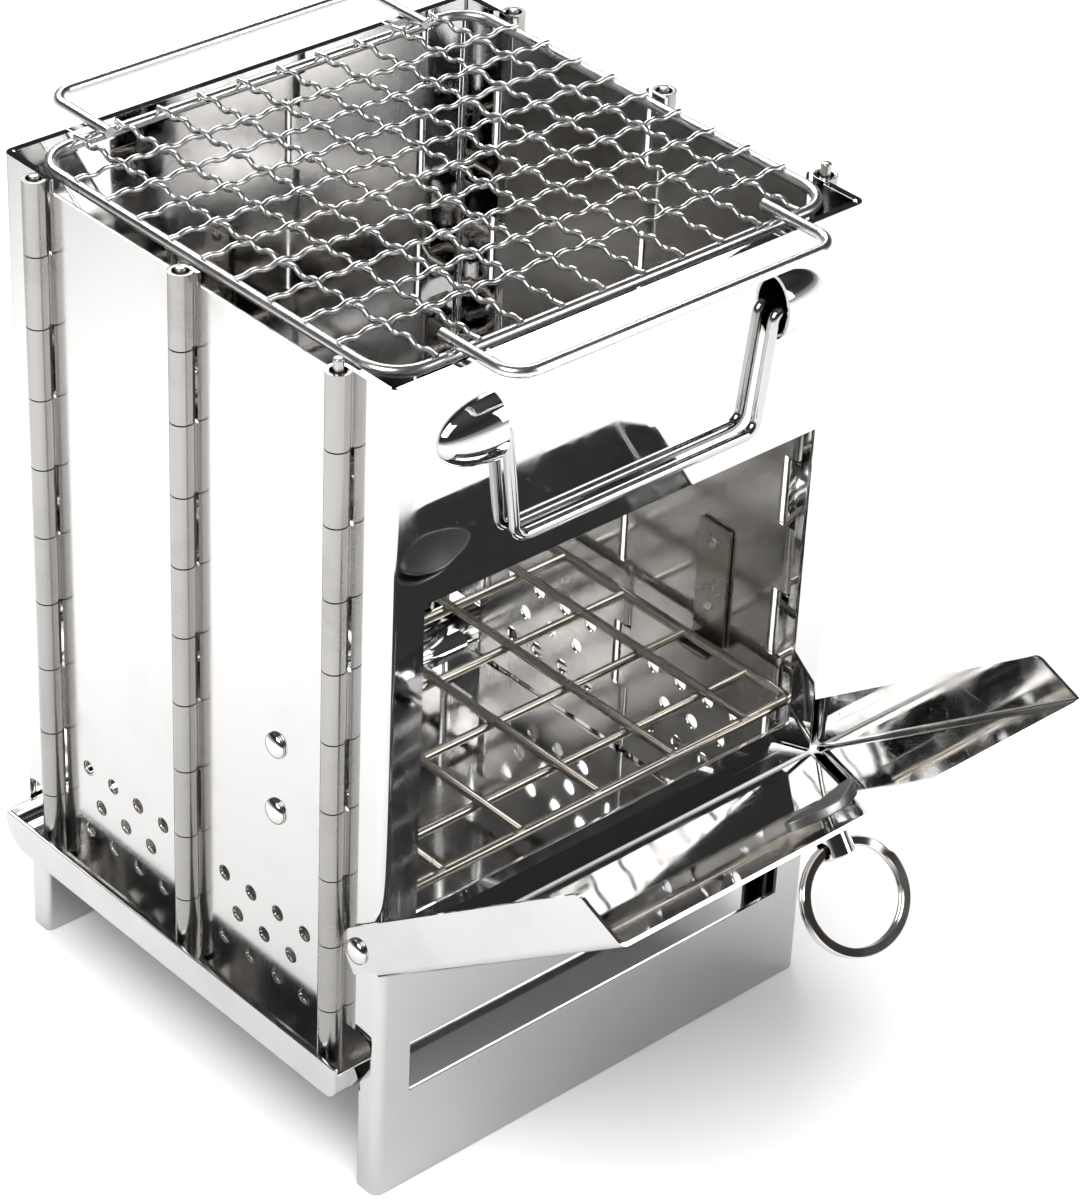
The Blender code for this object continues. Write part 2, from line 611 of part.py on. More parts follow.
def door(parts, cutters):
    """A plate with a cheek bent up at each side, hung outside the front panel's flanges."""
    inner_half = HALF + DOOR_SIDE_GAP
    half = inner_half + SHEET
    low = -DOOR_INNER - SHEET
    bend = (half - DOOR_BEND_RADIUS, low + DOOR_BEND_RADIUS)
    half_path = [(0, low)] + arc(bend, DOOR_BEND_RADIUS, -90, 0, 4) + [(half, DOOR_CHEEK_TOP + SHEET)]
    path = [(-x, y) for x, y in half_path[:0:-1]] + half_path
    strip = folded_strip("door", path, -DOOR_CHEEK_HEEL - SHEET, DOOR_REACH + SHEET, parts)
    strip.data.transform(Matrix(((1, 0, 0, 0), (0, 0, -1, 0), (0, 1, 0, 0), (0, 0, 0, 1))))
    heel = arc((0, 0), DOOR_CHEEK_HEEL, 0, 90, 5)
    tip = (-(DOOR_REACH - DOOR_CHEEK_SLANT), DOOR_CHEEK_TOP)
    outline = [(DOOR_CHEEK_HEEL, low - SHEET)] + heel[:-1] + [(0, DOOR_CHEEK_TOP)]
    outline += [(tip[0] + DOOR_CHEEK_FILLET, tip[1])]
    fillet_centre = (tip[0] + DOOR_CHEEK_FILLET - 0.001, tip[1] - DOOR_CHEEK_FILLET)
    outline += arc(fillet_centre, DOOR_CHEEK_FILLET, 95, 160, 4)
    outline += [(-DOOR_REACH, low + SHEET), (-DOOR_REACH, low - SHEET)]
    keep = plate("door_side_view", [outline], -half - SHEET, half + SHEET, cutters, side_view(0))
    throat = box("door_throat", (-inner_half - GAP / 3, -DOOR_REAR, low - SHEET),
                 (inner_half + GAP / 3, DOOR_CHEEK_HEEL + 2 * SHEET, DOOR_CHEEK_TOP + 2 * SHEET), cutters)
    heel_cut = box("door_heel", (-half - SHEET, -DOOR_REAR + 0.0005, low - SHEET),
                   (half + SHEET, DOOR_CHEEK_HEEL + 2 * SHEET, -DOOR_CHEEK_HEEL), cutters)
    holes = rods("door_rivet_holes", [(side * (half - SHEET / 2), 0, 0) for side in (-1, 1)],
                 RIVET_SHANK_RADIUS + GAP, 4 * SHEET, "X", cutters)
    bm = bmesh.new()
    bmesh.ops.create_cone(
        bm, cap_ends=True, segments=12, radius1=LATCH_NECK_RADIUS + GAP, radius2=LATCH_NECK_RADIUS + GAP,
        depth=6 * SHEET, matrix=Matrix.Translation((0, -LATCH_PLACE, low)))
    neck_hole = object_from(bm, "latch_hole", cutters)
    boolean(strip, keep, "INTERSECT")
    for cutter in (throat, heel_cut, holes, neck_hole):
        boolean(strip, cutter, "DIFFERENCE")
    for piece in (strip, keep, throat, heel_cut, holes, neck_hole):
        piece.matrix_world = door_frame() @ piece.matrix_world
    return finish_piece(strip, roughness=0.14)


def latch(parts, cutters):
    """An oval turn plate on the door's inner side, its stem outside with a cross hole."""
    under = -DOOR_INNER - SHEET
    cam_low = SHEET + GAP - DOOR_PIVOT_INSET
    cam_top = cam_low + LATCH_THICKNESS
    place = door_frame() @ Matrix.Translation((0, -LATCH_PLACE, 0))
    bulge = (LATCH_HALF_LENGTH ** 2 + LATCH_HALF_WIDTH ** 2) / (2 * LATCH_HALF_WIDTH)
    span = degrees(acos((bulge - LATCH_HALF_WIDTH) / bulge)) * 0.94
    lens = arc((0, LATCH_HALF_WIDTH - bulge), bulge, 90 - span, 90 + span, 10)
    lens += arc((0, bulge - LATCH_HALF_WIDTH), bulge, 270 - span, 270 + span, 10)
    hole = arc((0, 0), LATCH_NECK_RADIUS + GAP, 0, 330, 11)
    cam = plate("latch_cam", [lens, hole], cam_low, cam_top, parts)
    cam.matrix_world = place
    profile = [
        (0, cam_top + GAP + LATCH_HEAD_HEIGHT), (LATCH_HEAD_RADIUS * 0.8, cam_top + GAP + LATCH_HEAD_HEIGHT),
        (LATCH_HEAD_RADIUS, cam_top + GAP),
        (LATCH_NECK_RADIUS, cam_top + GAP),
        (LATCH_NECK_RADIUS, under - GAP),
        (STEM_RADIUS, under - GAP), (STEM_RADIUS, under - STEM_LENGTH + GAP),
        (STEM_RADIUS - GAP, under - STEM_LENGTH), (0, under - STEM_LENGTH)]
    stem = turned("latch_stem", profile, parts, 16)
    stem.matrix_world = place
    cross = rods(
        "stem_cross_hole", [(0, 0, under - STEM_HOLE_PLACE)], STEM_HOLE_RADIUS, 4 * STEM_RADIUS, "X", cutters)
    cross.matrix_world = place
    boolean(stem, cross, "DIFFERENCE")
    finish_piece(cam, DULL_STEEL, 0.25)
    return finish_piece(stem, STEEL, 0.15)


def split_ring(parts):
    """A plain ring through the stem's cross hole, standing out along the stem."""
    under = -DOOR_INNER - SHEET
    sag = RING_RADIUS - sqrt(RING_RADIUS ** 2 - STEM_RADIUS ** 2)
    drop = RING_RADIUS - sag / 2
    hole = door_frame() @ Vector((0, -LATCH_PLACE, under - STEM_HOLE_PLACE))
    round_points = [(RING_RADIUS * cos(a), 0, -drop + RING_RADIUS * sin(a))
                    for a in (radians(i * 360 / 28) for i in range(28))]
    ring = wire("split_ring", round_points, RING_WIRE_RADIUS, parts, cyclic=True, resolution=1)
    ring.matrix_world = Matrix.Translation(hole) @ Matrix.Rotation(-DOOR_OPEN_ANGLE, 4, "X")
    return finish_piece(ring, RING_STEEL, 0.2)


def bail_handle(parts):
    """A wire U that hangs from the two pressed pockets."""
    y = -BAIL_STANDOFF
    top, low = BAIL_AXIS_HEIGHT, BAIL_AXIS_HEIGHT - BAIL_DROP
    bend = BAIL_WIRE_RADIUS * 1.5
    tongue = BAIL_TOP_HALF + BAIL_TONGUE
    right = [(tongue, top)]
    right += arc((BAIL_TOP_HALF + bend, top - bend), bend, 90, 180, 3)
    right += arc((BAIL_BOTTOM_HALF - BAIL_FILLET, low + BAIL_FILLET), BAIL_FILLET, 0, -90, 4)
    route = right + [(-x, z) for x, z in reversed(right)]
    handle = wire("bail_handle", [(x, 0, z - BAIL_AXIS_HEIGHT) for x, z in route], BAIL_WIRE_RADIUS, parts,
                  resolution=2)
    handle.location = (0, y, BAIL_AXIS_HEIGHT)
    return finish_piece(handle, DULL_STEEL, 0.16)


def rounded_rectangle(half_x, low_y, high_y, corner, height, steps=4):
    """Closed loop of points round a rectangle with rounded corners."""
    loop = []
    corners = ((half_x, high_y, 0), (-half_x, high_y, 90), (-half_x, low_y, 180), (half_x, low_y, 270))
    for x, y, start in corners:
        centre = (x - corner * (1 if x > 0 else -1), y - corner * (1 if y == high_y else -1))
        loop += arc(centre, corner, start, start + 90, steps)
    return [(x, y, height) for x, y in loop]


def grill(parts, cutters):
    """Frame wire with a net of wires welded on it."""
    low, high = MIDDLE_PIN - GRILL_LENGTH / 2, MIDDLE_PIN + GRILL_LENGTH / 2
    made = wire("grill", rounded_rectangle(GRILL_HALF_WIDTH, low, high, GRILL_CORNER, GRILL_AXIS_HEIGHT),
                GRILL_FRAME_RADIUS, parts, cyclic=True)
    level = GRILL_AXIS_HEIGHT + GRILL_FRAME_RADIUS + GRILL_WIRE_RADIUS - WELD_SINK
    long_count = int(2 * GRILL_HALF_WIDTH / GRILL_LONG_PITCH) - 1
    cross_count = int(GRILL_LENGTH / GRILL_CROSS_PITCH) - 1
    long_wires, cross_wires = [], []
    for i in range(long_count):
        x = (i - (long_count - 1) / 2) * GRILL_LONG_PITCH
        long_wires.append(wire(f"long_{i}", [(x, low, level), (x, high, level)], GRILL_WIRE_RADIUS, cutters))
    for i in range(cross_count):
        y = MIDDLE_PIN + (i - (cross_count - 1) / 2) * GRILL_CROSS_PITCH
        cross_wires.append(wire(
            f"cross_{i}", [(-GRILL_HALF_WIDTH, y, level), (GRILL_HALF_WIDTH, y, level)],
            GRILL_WIRE_RADIUS, cutters))
    boolean(made, merge("grill_long_wires", long_wires, cutters), "UNION")
    boolean(made, merge("grill_cross_wires", cross_wires, cutters), "UNION")
    return finish_piece(made)


def grill_handle(name, direction, parts):
    """A wire U over the frame, its legs' ends just inside; direction is -1 at the front."""
    frame_y = MIDDLE_PIN + direction * GRILL_LENGTH / 2
    inside = frame_y - direction * GRILL_HANDLE_TAIL
    bar = frame_y + direction * GRILL_HANDLE_REACH
    level = GRILL_AXIS_HEIGHT + 2 * GRILL_FRAME_RADIUS + GAP
    fillet = GRILL_HANDLE_FILLET
    corner = arc((GRILL_HANDLE_HALF - fillet, 0), fillet, 0, 90, 4)
    right = [(GRILL_HANDLE_HALF, inside)]
    right += [(x, bar + direction * (y - fillet)) for x, y in corner]
    route = right + [(-x, y) for x, y in reversed(right)]
    handle = wire(name, [(x, y, level) for x, y in route], GRILL_FRAME_RADIUS, parts, resolution=2)
    return finish_piece(handle)


def grate(parts, cutters):
    """Frame wire with straight wires welded in both directions."""
    low, high = GRATE_FRONT, DEPTH - GRATE_REAR
    made = wire("grate", rounded_rectangle(GRATE_HALF_WIDTH, low, high, GRATE_CORNER, GRATE_AXIS_HEIGHT, 2),
                GRATE_FRAME_RADIUS, parts, cyclic=True)
    upper = GRATE_AXIS_HEIGHT + GRATE_FRAME_RADIUS + GRATE_WIRE_RADIUS - WELD_SINK
    long_count = int(2 * GRATE_HALF_WIDTH / GRATE_LONG_PITCH)
    cross_count = int((high - low - GRATE_FIRST_CROSS) / GRATE_CROSS_PITCH) + 1
    long_wires, cross_wires = [], []
    for i in range(long_count):
        x = (i - (long_count - 1) / 2) * GRATE_LONG_PITCH
        run = [(x, low, upper), (x, high, upper)]
        long_wires.append(wire(f"grate_long_{i}", run, GRATE_WIRE_RADIUS, cutters))
    for i in range(cross_count):
        y = low + GRATE_FIRST_CROSS + i * GRATE_CROSS_PITCH
        cross_wires.append(wire(
            f"grate_cross_{i}",
            [(-GRATE_HALF_WIDTH, y, GRATE_AXIS_HEIGHT), (GRATE_HALF_WIDTH, y, GRATE_AXIS_HEIGHT)],
            GRATE_WIRE_RADIUS, cutters))
    boolean(made, merge("grate_cross_wires", cross_wires, cutters), "UNION")
    boolean(made, merge("grate_long_wires", long_wires, cutters), "UNION")
    return finish_piece(made, DULL_STEEL, 0.3)


def bracket(name, shelf, rivet_heights, place, parts, cutters):
    """An angle bracket: its own X runs inwards from the wall, Z up, its rivet holes along X."""
    top = max(rivet_heights) + BRACKET_ABOVE_RIVET
    outline = [(0, GRATE_SEAT - SHEET), (shelf, GRATE_SEAT - SHEET), (shelf, GRATE_SEAT), (SHEET, GRATE_SEAT),
               (SHEET, top), (0, top)]
    upright = Matrix(((1, 0, 0, 0), (0, 0, 1, 0), (0, 1, 0, 0), (0, 0, 0, 1)))
    made = plate(name, [outline], -BRACKET_HALF_WIDTH, BRACKET_HALF_WIDTH, parts, upright)
    holes = rods(f"{name}_holes", [(SHEET / 2, 0, z) for z in rivet_heights],
                 RIVET_SHANK_RADIUS + GAP, 4 * SHEET, "X", cutters)
    for piece in (made, holes):
        piece.matrix_world = place @ piece.matrix_world
    boolean(made, holes, "DIFFERENCE")
    return finish_piece(made, DULL_STEEL, 0.3)


def walls(parts, cutters):
    """The leaves, hinge pins, grate brackets and rivets of both sides."""
    even, odd = range(0, KNUCKLES, 2), range(1, KNUCKLES, 2)
    front, middle, rear = PIN_PLACES["front"], PIN_PLACES["middle"], PIN_PLACES["rear"]
    stack = 2 * SHEET + 2 * GAP + GAP
    for side, label in ((-1, "left"), (1, "right")):
        leaf(f"{label}_front_leaf", side, front, middle, odd, even, True, parts, cutters)
        leaf(f"{label}_rear_leaf", side, middle, rear, odd, odd, False, parts, cutters)
        for place, pin_y in PIN_PLACES.items():
            stand = FRONT_PIN_STAND if place == "front" else OTHER_PIN_STAND
            hinge_pin(f"{label}_{place}_pin", side, pin_y, stand, parts)
        rivet_y = front + LEAF_RIVET_INSET
        turn = Matrix.Rotation(0 if side < 0 else pi, 4, "Z")
        seat = Matrix.Translation((side * (HALF - SHEET - GAP), rivet_y, 0)) @ turn
        bracket(f"{label}_grate_bracket", BRACKET_SHELF, LEAF_RIVET_HEIGHTS, seat, parts, cutters)
        for height, level in zip(LEAF_RIVET_HEIGHTS, ("lower", "upper")):
            head = (side * (HALF + GAP), rivet_y, height)
            rivet(f"{label}_{level}_leaf_rivet", stack, head, facing(side), parts)
        door_head = (side * (HALF + DOOR_SIDE_GAP + SHEET + GAP), DOOR_PIVOT_INSET, DOOR_PIVOT_HEIGHT)
        rivet(f"{label}_door_rivet", 2 * SHEET + DOOR_SIDE_GAP + 2 * GAP, door_head, facing(side), parts)
        x = side * BACK_BRACKET_PLACE
        wall = Matrix.Translation((x, DEPTH - SHEET - GAP, 0)) @ Matrix.Rotation(-pi / 2, 4, "Z")
        bracket(f"{label}_back_bracket", BACK_BRACKET_SHELF, (BACK_RIVET_HEIGHT,), wall, parts, cutters)
        place = (x, DEPTH + GAP, BACK_RIVET_HEIGHT)
        rivet(f"{label}_back_rivet", stack, place, Matrix.Rotation(-pi / 2, 4, "X"), parts)


def centre_on_floor(pieces):
    """Move the stove so that its box stands centred on the origin."""
    bpy.context.view_layer.update()
    graph = bpy.context.evaluated_depsgraph_get()
    corners = []
    for piece in pieces:
        solid = piece.evaluated_get(graph)
        corners += [solid.matrix_world @ vertex.co for vertex in solid.data.vertices]
    middle = Vector([(min(c[i] for c in corners) + max(c[i] for c in corners)) / 2 for i in range(2)] + [0])
    for thing in bpy.data.objects:
        if thing.parent is None:
            thing.matrix_world = Matrix.Translation(-middle) @ thing.matrix_world


def build():
    clear_scene()
    parts = new_collection("folding_wood_stove")
    cutters = new_collection("cutters")
    front_panel(parts, cutters)
    back_panel(parts, cutters)
    walls(parts, cutters)
    ash_tray(parts, cutters)
    door(parts, cutters)
    latch(parts, cutters)
    split_ring(parts)
    bail_handle(parts)
    grill(parts, cutters)
    grill_handle("front_grill_handle", -1, parts)
    grill_handle("back_grill_handle", 1, parts)
    grate(parts, cutters)
    centre_on_floor(list(parts.objects))


build()
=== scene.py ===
"""Looks of a folding wood stove in polished stainless sheet and wire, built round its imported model.

Metres, +Z up, the feed door towards -Y. Sheet parts are drawn as the middle surface of the sheet,
folded and rolled in edit mode, and then given the sheet's thickness.
"""

from math import cos, pi, radians, sin

import bmesh
import bpy
from mathutils import Matrix, Quaternion, Vector


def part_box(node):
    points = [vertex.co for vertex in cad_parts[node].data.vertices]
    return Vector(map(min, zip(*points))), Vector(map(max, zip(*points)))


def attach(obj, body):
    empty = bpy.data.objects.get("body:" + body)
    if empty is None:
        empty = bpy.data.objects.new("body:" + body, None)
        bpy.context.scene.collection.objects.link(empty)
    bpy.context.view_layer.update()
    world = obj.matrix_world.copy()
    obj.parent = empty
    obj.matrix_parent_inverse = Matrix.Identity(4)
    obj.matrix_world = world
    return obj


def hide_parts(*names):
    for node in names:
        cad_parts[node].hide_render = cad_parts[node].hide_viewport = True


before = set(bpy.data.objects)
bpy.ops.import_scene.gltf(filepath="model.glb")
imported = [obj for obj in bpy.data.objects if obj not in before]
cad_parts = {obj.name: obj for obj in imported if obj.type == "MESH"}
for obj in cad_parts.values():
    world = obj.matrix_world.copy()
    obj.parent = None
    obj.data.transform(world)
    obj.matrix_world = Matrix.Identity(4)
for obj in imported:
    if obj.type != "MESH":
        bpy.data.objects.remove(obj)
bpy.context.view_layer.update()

MM = 0.001

# Sheet and hinges
SHEET = 1.0 * MM
HEM = 5.5 * MM              # width of the folded-over edges
EYE_RADIUS = 3.0 * MM       # outside of a hinge knuckle
ROLL_ANGLE = radians(322)
KNUCKLES = 10
KNUCKLE_GAP = 0.3 * MM
SHEET_CLEARANCE = 3.2 * MM  # hinge axis to the sheet beside the other side's knuckles
BEND_RADIUS = 2.1 * MM      # middle of the sheet

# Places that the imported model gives
DEPTH = 141 * MM
BACK_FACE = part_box("back_panel")[1].y
FRONT_FACE = BACK_FACE - DEPTH
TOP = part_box("back_panel")[1].z
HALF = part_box("back_panel")[1].x + SHEET - 2 * EYE_RADIUS
WALL = HALF - SHEET / 2     # middle of the side walls' sheet
HINGE_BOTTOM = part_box("left_front_leaf")[0].z
KNUCKLE_PITCH = (TOP - HINGE_BOTTOM) / KNUCKLES
LEAF_TOP = TOP - 3 * MM


def middle(node):
    low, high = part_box(node)
    return (low + high) / 2


PIN_PLACES = {place: middle(f"left_{place}_pin").y for place in ("front", "middle", "rear")}
EYE_CENTRE = middle("right_front_pin").x

# Front panel's openings
WINDOW_HALF = 60.75 * MM
WINDOW_BOTTOM, WINDOW_TOP = 82.0 * MM, 167.5 * MM
SLOT_HALF = 61.5 * MM
SLOT_BOTTOM, SLOT_TOP = 28.5 * MM, 43.7 * MM

# Legs and the notches that hold the tray
LEG_DEPTH = 8.0 * MM
LEG_RETURN = 14.5 * MM
LEG_BEND = 1.2 * MM
NOTCH_TOP = 47.0 * MM
NOTCH_FILLET = 3.0 * MM
TRAY_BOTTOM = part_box("ash_tray")[0].z

# Door
DOOR_ANGLE = radians(36.3)
DOOR_AXIS = Vector((0, FRONT_FACE + 6.3 * MM, 72.9 * MM))
DOOR_REACH = 101.5 * MM
DOOR_REAR = 3.5 * MM
CHEEK_TOP = 5.8 * MM
DOOR_SIDE_GAP = 0.5 * MM
PLATE_DROP = 6.7 * MM       # axis to the plate's inner side
DOOR_BEND = 1.5 * MM        # middle of the sheet
HEEL_RADIUS = 5.6 * MM      # round the hinge axis
CHEEK_CORNER = 4 * MM
CHEEK_SETBACK = 10 * MM     # plate's free edge to the cheeks' far corners
LATCH_PLACE = 89.0 * MM
RING_HOLE_DROP = 4.6 * MM
POST_RADIUS = 4.0 * MM
RING_TURN = radians(-11)     # the ring hangs askew in its loose hole

# Wall leaves and rivets
SEAT_GAP = 0.3 * MM         # under a rivet's head
VENT_ROWS = (4, 3, 4)        # holes in each row, from the lowest up
VENT_RADIUS = 2.1 * MM
VENT_PITCH, VENT_ROW_PITCH = 10.2 * MM, 9.5 * MM
LOWEST_VENTS = 45 * MM
RIVET_HOLE_RADIUS = 1.9 * MM
RIVET_SETBACK = 23 * MM     # front hinge axis to the leaf's rivets
BRACKET_BEND = 1.3 * MM

# Carrying handle
BAIL_RADIUS = 1.4 * MM
BAIL_AXIS = Vector((0, FRONT_FACE - 2.6 * MM, 207 * MM))
BAIL_TOP_HALF, BAIL_BOTTOM_HALF = 40.6 * MM, 37.6 * MM
BAIL_DROP = 30 * MM
POCKET_SIZE = Vector((16.0, 6.2, 8.5)) * MM
POCKET_MOUTH = 42.6 * MM

# Grill and grate
GRILL_LOW, GRILL_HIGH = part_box("grill")
GRATE_LOW, GRATE_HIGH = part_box("grate")
FRAME_WIRE = 1.4 * MM
NET_WIRE = 0.66 * MM
LONG_SWING, CROSS_SWING = 0.62 * MM, 0.42 * MM
LONG_PITCH, CROSS_PITCH = 12.1 * MM, 11.8 * MM
LONG_STRANDS, CROSS_STRANDS = 10, 9
GRATE_WIRE = 1.2 * MM
LONG_BAR_PITCH, CROSS_BAR_PITCH = 24.7 * MM, 22.8 * MM
FIRST_CROSS_BAR = 15 * MM   # frame to the foremost bar
GRATE_BARS = 5              # each way


# ---------------------------------------------------------------- edit-mode helpers

def object_mode():
    if bpy.context.object and bpy.context.object.mode != "OBJECT":
        bpy.ops.object.mode_set(mode="OBJECT")


def fresh():
    object_mode()
    bpy.ops.object.select_all(action="DESELECT")


def take(name):
    """Name the new primitive, settle its place in its mesh, and open it for editing."""
    piece = bpy.context.object
    piece.name = piece.data.name = name
    bpy.ops.object.transform_apply(location=True, rotation=True, scale=True)
    bpy.ops.object.mode_set(mode="EDIT")
    bpy.ops.mesh.select_all(action="DESELECT")
    return piece


def bare(name):
    """A piece with nothing in its mesh yet, open for editing."""
    fresh()
    bpy.ops.mesh.primitive_plane_add(size=1)
    piece = take(name)
    bpy.ops.mesh.select_all(action="SELECT")
    bpy.ops.mesh.delete(type="VERT")
    return piece


def upright_plane(name, low, high, y):
    """A plane facing -Y between two (x, z) corners."""
    fresh()
    bpy.ops.mesh.primitive_plane_add(
        size=1, location=((low[0] + high[0]) / 2, y, (low[1] + high[1]) / 2), rotation=(pi / 2, 0, 0))
    bpy.context.object.scale = (high[0] - low[0], high[1] - low[1], 1)
    return take(name)


def level_plane(name, low, high, z):
    """A plane facing up between two (x, y) corners."""
    fresh()
    bpy.ops.mesh.primitive_plane_add(size=1, location=((low[0] + high[0]) / 2, (low[1] + high[1]) / 2, z))
    bpy.context.object.scale = (high[0] - low[0], high[1] - low[1], 1)
    return take(name)


def block(name, low, high):
    fresh()
    low, high = Vector(low), Vector(high)
    bpy.ops.mesh.primitive_cube_add(size=1, location=(low + high) / 2)
    bpy.context.object.scale = high - low
    return take(name)


def rod(name, start, end, radius, sides=32):
    """A round bar between two points, left open for editing."""
    fresh()
    start, end = Vector(start), Vector(end)
    bpy.ops.mesh.primitive_cylinder_add(
        vertices=sides, radius=radius, depth=(end - start).length, location=(start + end) / 2,
        rotation=(end - start).to_track_quat("Z", "Y").to_euler())
    return take(name)


def pick(kind, test):
    """Select the vertices, edges or faces that pass the test, and nothing else."""
    bpy.ops.mesh.select_mode(type=kind)
    bpy.ops.mesh.select_all(action="DESELECT")
    mesh = bmesh.from_edit_mesh(bpy.context.object.data)
    items = {"VERT": mesh.verts, "EDGE": mesh.edges, "FACE": mesh.faces}[kind]
    found = [item for item in items if test(item)]
    for item in found:
        item.select_set(True)
    if kind == "VERT":
        mesh.select_flush(True)
    else:
        mesh.select_flush_mode()
    bmesh.update_edit_mesh(bpy.context.object.data)
    return len(found)


def near(value, target, within=2e-5):
    return abs(value - target) < within


def edge_at(**sides):
    """A test for edges whose two ends lie at the given x, y or z."""
    def test(edge):
        return all(near(getattr(v.co, axis), value) for v in edge.verts for axis, value in sides.items())
    return test


def mid(item):
    """The middle of an edge or a face."""
    if hasattr(item, "calc_center_median"):
        return item.calc_center_median()
    return sum((v.co for v in item.verts), Vector()) / len(item.verts)


def extrude(x=0, y=0, z=0):
    bpy.ops.mesh.extrude_region_move(TRANSFORM_OT_translate={"value": (x, y, z)})


def spin(angle, steps, centre, axis):
    bpy.ops.mesh.spin(steps=steps, angle=-angle, center=centre, axis=axis)


def cut(place, normal, test=None):
    """Bisect the faces that pass the test."""
    pick("FACE", test or (lambda face: True))
    bpy.ops.mesh.bisect(plane_co=place, plane_no=normal)


def delete_faces(test):
    if pick("FACE", test):
        bpy.ops.mesh.delete(type="FACE")


def close_up():
    """Merge doubles and turn every face outwards."""
    bpy.ops.mesh.select_mode(type="VERT")
    bpy.ops.mesh.select_all(action="SELECT")
    bpy.ops.mesh.remove_doubles(threshold=2e-6)
    bpy.ops.mesh.normals_make_consistent(inside=False)


def apply(piece, kind, **settings):
    """Add a modifier with the given settings and apply it."""
    object_mode()
    bpy.context.view_layer.objects.active = piece
    step = piece.modifiers.new(kind.lower(), kind)
    for name, value in settings.items():
        setattr(step, name, value)
    bpy.ops.object.modifier_apply(modifier=step.name)
    return piece


def give_thickness(piece, thickness=SHEET, offset=0):
    close_up()
    return apply(piece, "SOLIDIFY", thickness=thickness, offset=offset, use_even_offset=True)


def soften(piece, width=0.18 * MM, segments=2, angle=38):
    """Round the sheet's cut edges, and smooth between its corners."""
    apply(piece, "BEVEL", width=width, segments=segments, limit_method="ANGLE", angle_limit=radians(angle),
          use_clamp_overlap=True)
    return shade(piece)


def shade(piece):
    """Shade smooth, with the normals of the large flat faces kept flat."""
    fresh()
    piece.select_set(True)
    bpy.context.view_layer.objects.active = piece
    bpy.ops.object.shade_smooth_by_angle(angle=radians(35))
    return apply(piece, "WEIGHTED_NORMAL", keep_sharp=True, weight=100)


def cut_away(piece, *cutters):
    for cutter in cutters:
        object_mode()
        apply(piece, "BOOLEAN", operation="DIFFERENCE", solver="EXACT", object=cutter)
        bpy.data.objects.remove(cutter)
    return piece


def join(name, pieces):
    fresh()
    for piece in pieces:
        piece.select_set(True)
    bpy.context.view_layer.objects.active = pieces[0]
    bpy.ops.object.join()
    pieces[0].name = pieces[0].data.name = name
    return pieces[0]


def copy_of(piece, name, place=Matrix()):
    made = piece.copy()
    made.data = piece.data.copy()
    made.name = made.data.name = name
    made.data.transform(place)
    bpy.context.scene.collection.objects.link(made)
    return made


MIRROR_X = Matrix.Diagonal((-1, 1, 1, 1))


def mirrored(piece, name, place=MIRROR_X):
    """A mirrored copy whose faces point outwards again."""
    made = copy_of(piece, name, place)
    fresh()
    made.select_set(True)
    bpy.context.view_layer.objects.active = made
    bpy.ops.object.mode_set(mode="EDIT")
    bpy.ops.mesh.select_all(action="SELECT")
    bpy.ops.mesh.flip_normals()
    object_mode()
    bpy.ops.mesh.customdata_custom_splitnormals_clear()
    return shade(made)


def wire(name, points, radius, cyclic=False, around=6):
    """A round wire through the points."""
    fresh()
    curve = bpy.data.curves.new(name, "CURVE")
    curve.dimensions = "3D"
    curve.bevel_depth = radius
    curve.bevel_resolution = around
    curve.use_fill_caps = True
    spline = curve.splines.new("POLY")
    spline.points.add(len(points) - 1)
    for knot, place in zip(spline.points, points):
        knot.co = (*place, 1)
    spline.use_cyclic_u = cyclic
    piece = bpy.data.objects.new(name, curve)
    bpy.context.scene.collection.objects.link(piece)
    piece.select_set(True)
    bpy.context.view_layer.objects.active = piece
    bpy.ops.object.convert(target="MESH")
    piece = bpy.context.object
    bpy.ops.object.mode_set(mode="EDIT")
    close_up()
    object_mode()
    bpy.ops.object.shade_smooth_by_angle(angle=radians(50))
    piece.name = piece.data.name = name
    return piece


def arc(centre, radius, start, end, steps):
    """(x, y) points on an arc, its angles in degrees."""
    turns = [radians(start + (end - start) * i / steps) for i in range(steps + 1)]
    return [(centre[0] + radius * cos(a), centre[1] + radius * sin(a)) for a in turns]


# ---------------------------------------------------------------- sheet parts

def knuckle_span(number):
    top = TOP - number * KNUCKLE_PITCH
    low = top - KNUCKLE_PITCH + (KNUCKLE_GAP / 2 if number < KNUCKLES - 1 else 0)
    return low, top - (KNUCKLE_GAP / 2 if number else 0)


def roll_knuckles(side, edge_y, pin_y, own):
    """Leave tabs on the sheet's upright edge at edge_y and roll them round the hinge axis."""
    towards = 1 if pin_y > edge_y else -1
    pick("EDGE", lambda edge: edge_at(x=side * WALL, y=edge_y)(edge) and mid(edge).z > HINGE_BOTTOM)
    extrude(y=pin_y - edge_y)

    def in_strip(face):
        return near(mid(face).x, side * WALL) and min(edge_y, pin_y) < mid(face).y < max(edge_y, pin_y)

    for number in own:
        for height in knuckle_span(number):
            if HINGE_BOTTOM < height < TOP:
                cut((0, 0, height), (0, 0, 1), in_strip)
    spans = [knuckle_span(number) for number in own]
    delete_faces(lambda face: in_strip(face) and not any(low < mid(face).z < high for low, high in spans))
    pick("EDGE", edge_at(x=side * WALL, y=pin_y))
    spin(-side * towards * ROLL_ANGLE, 26, (side * EYE_CENTRE, pin_y, 0), (0, 0, 1))


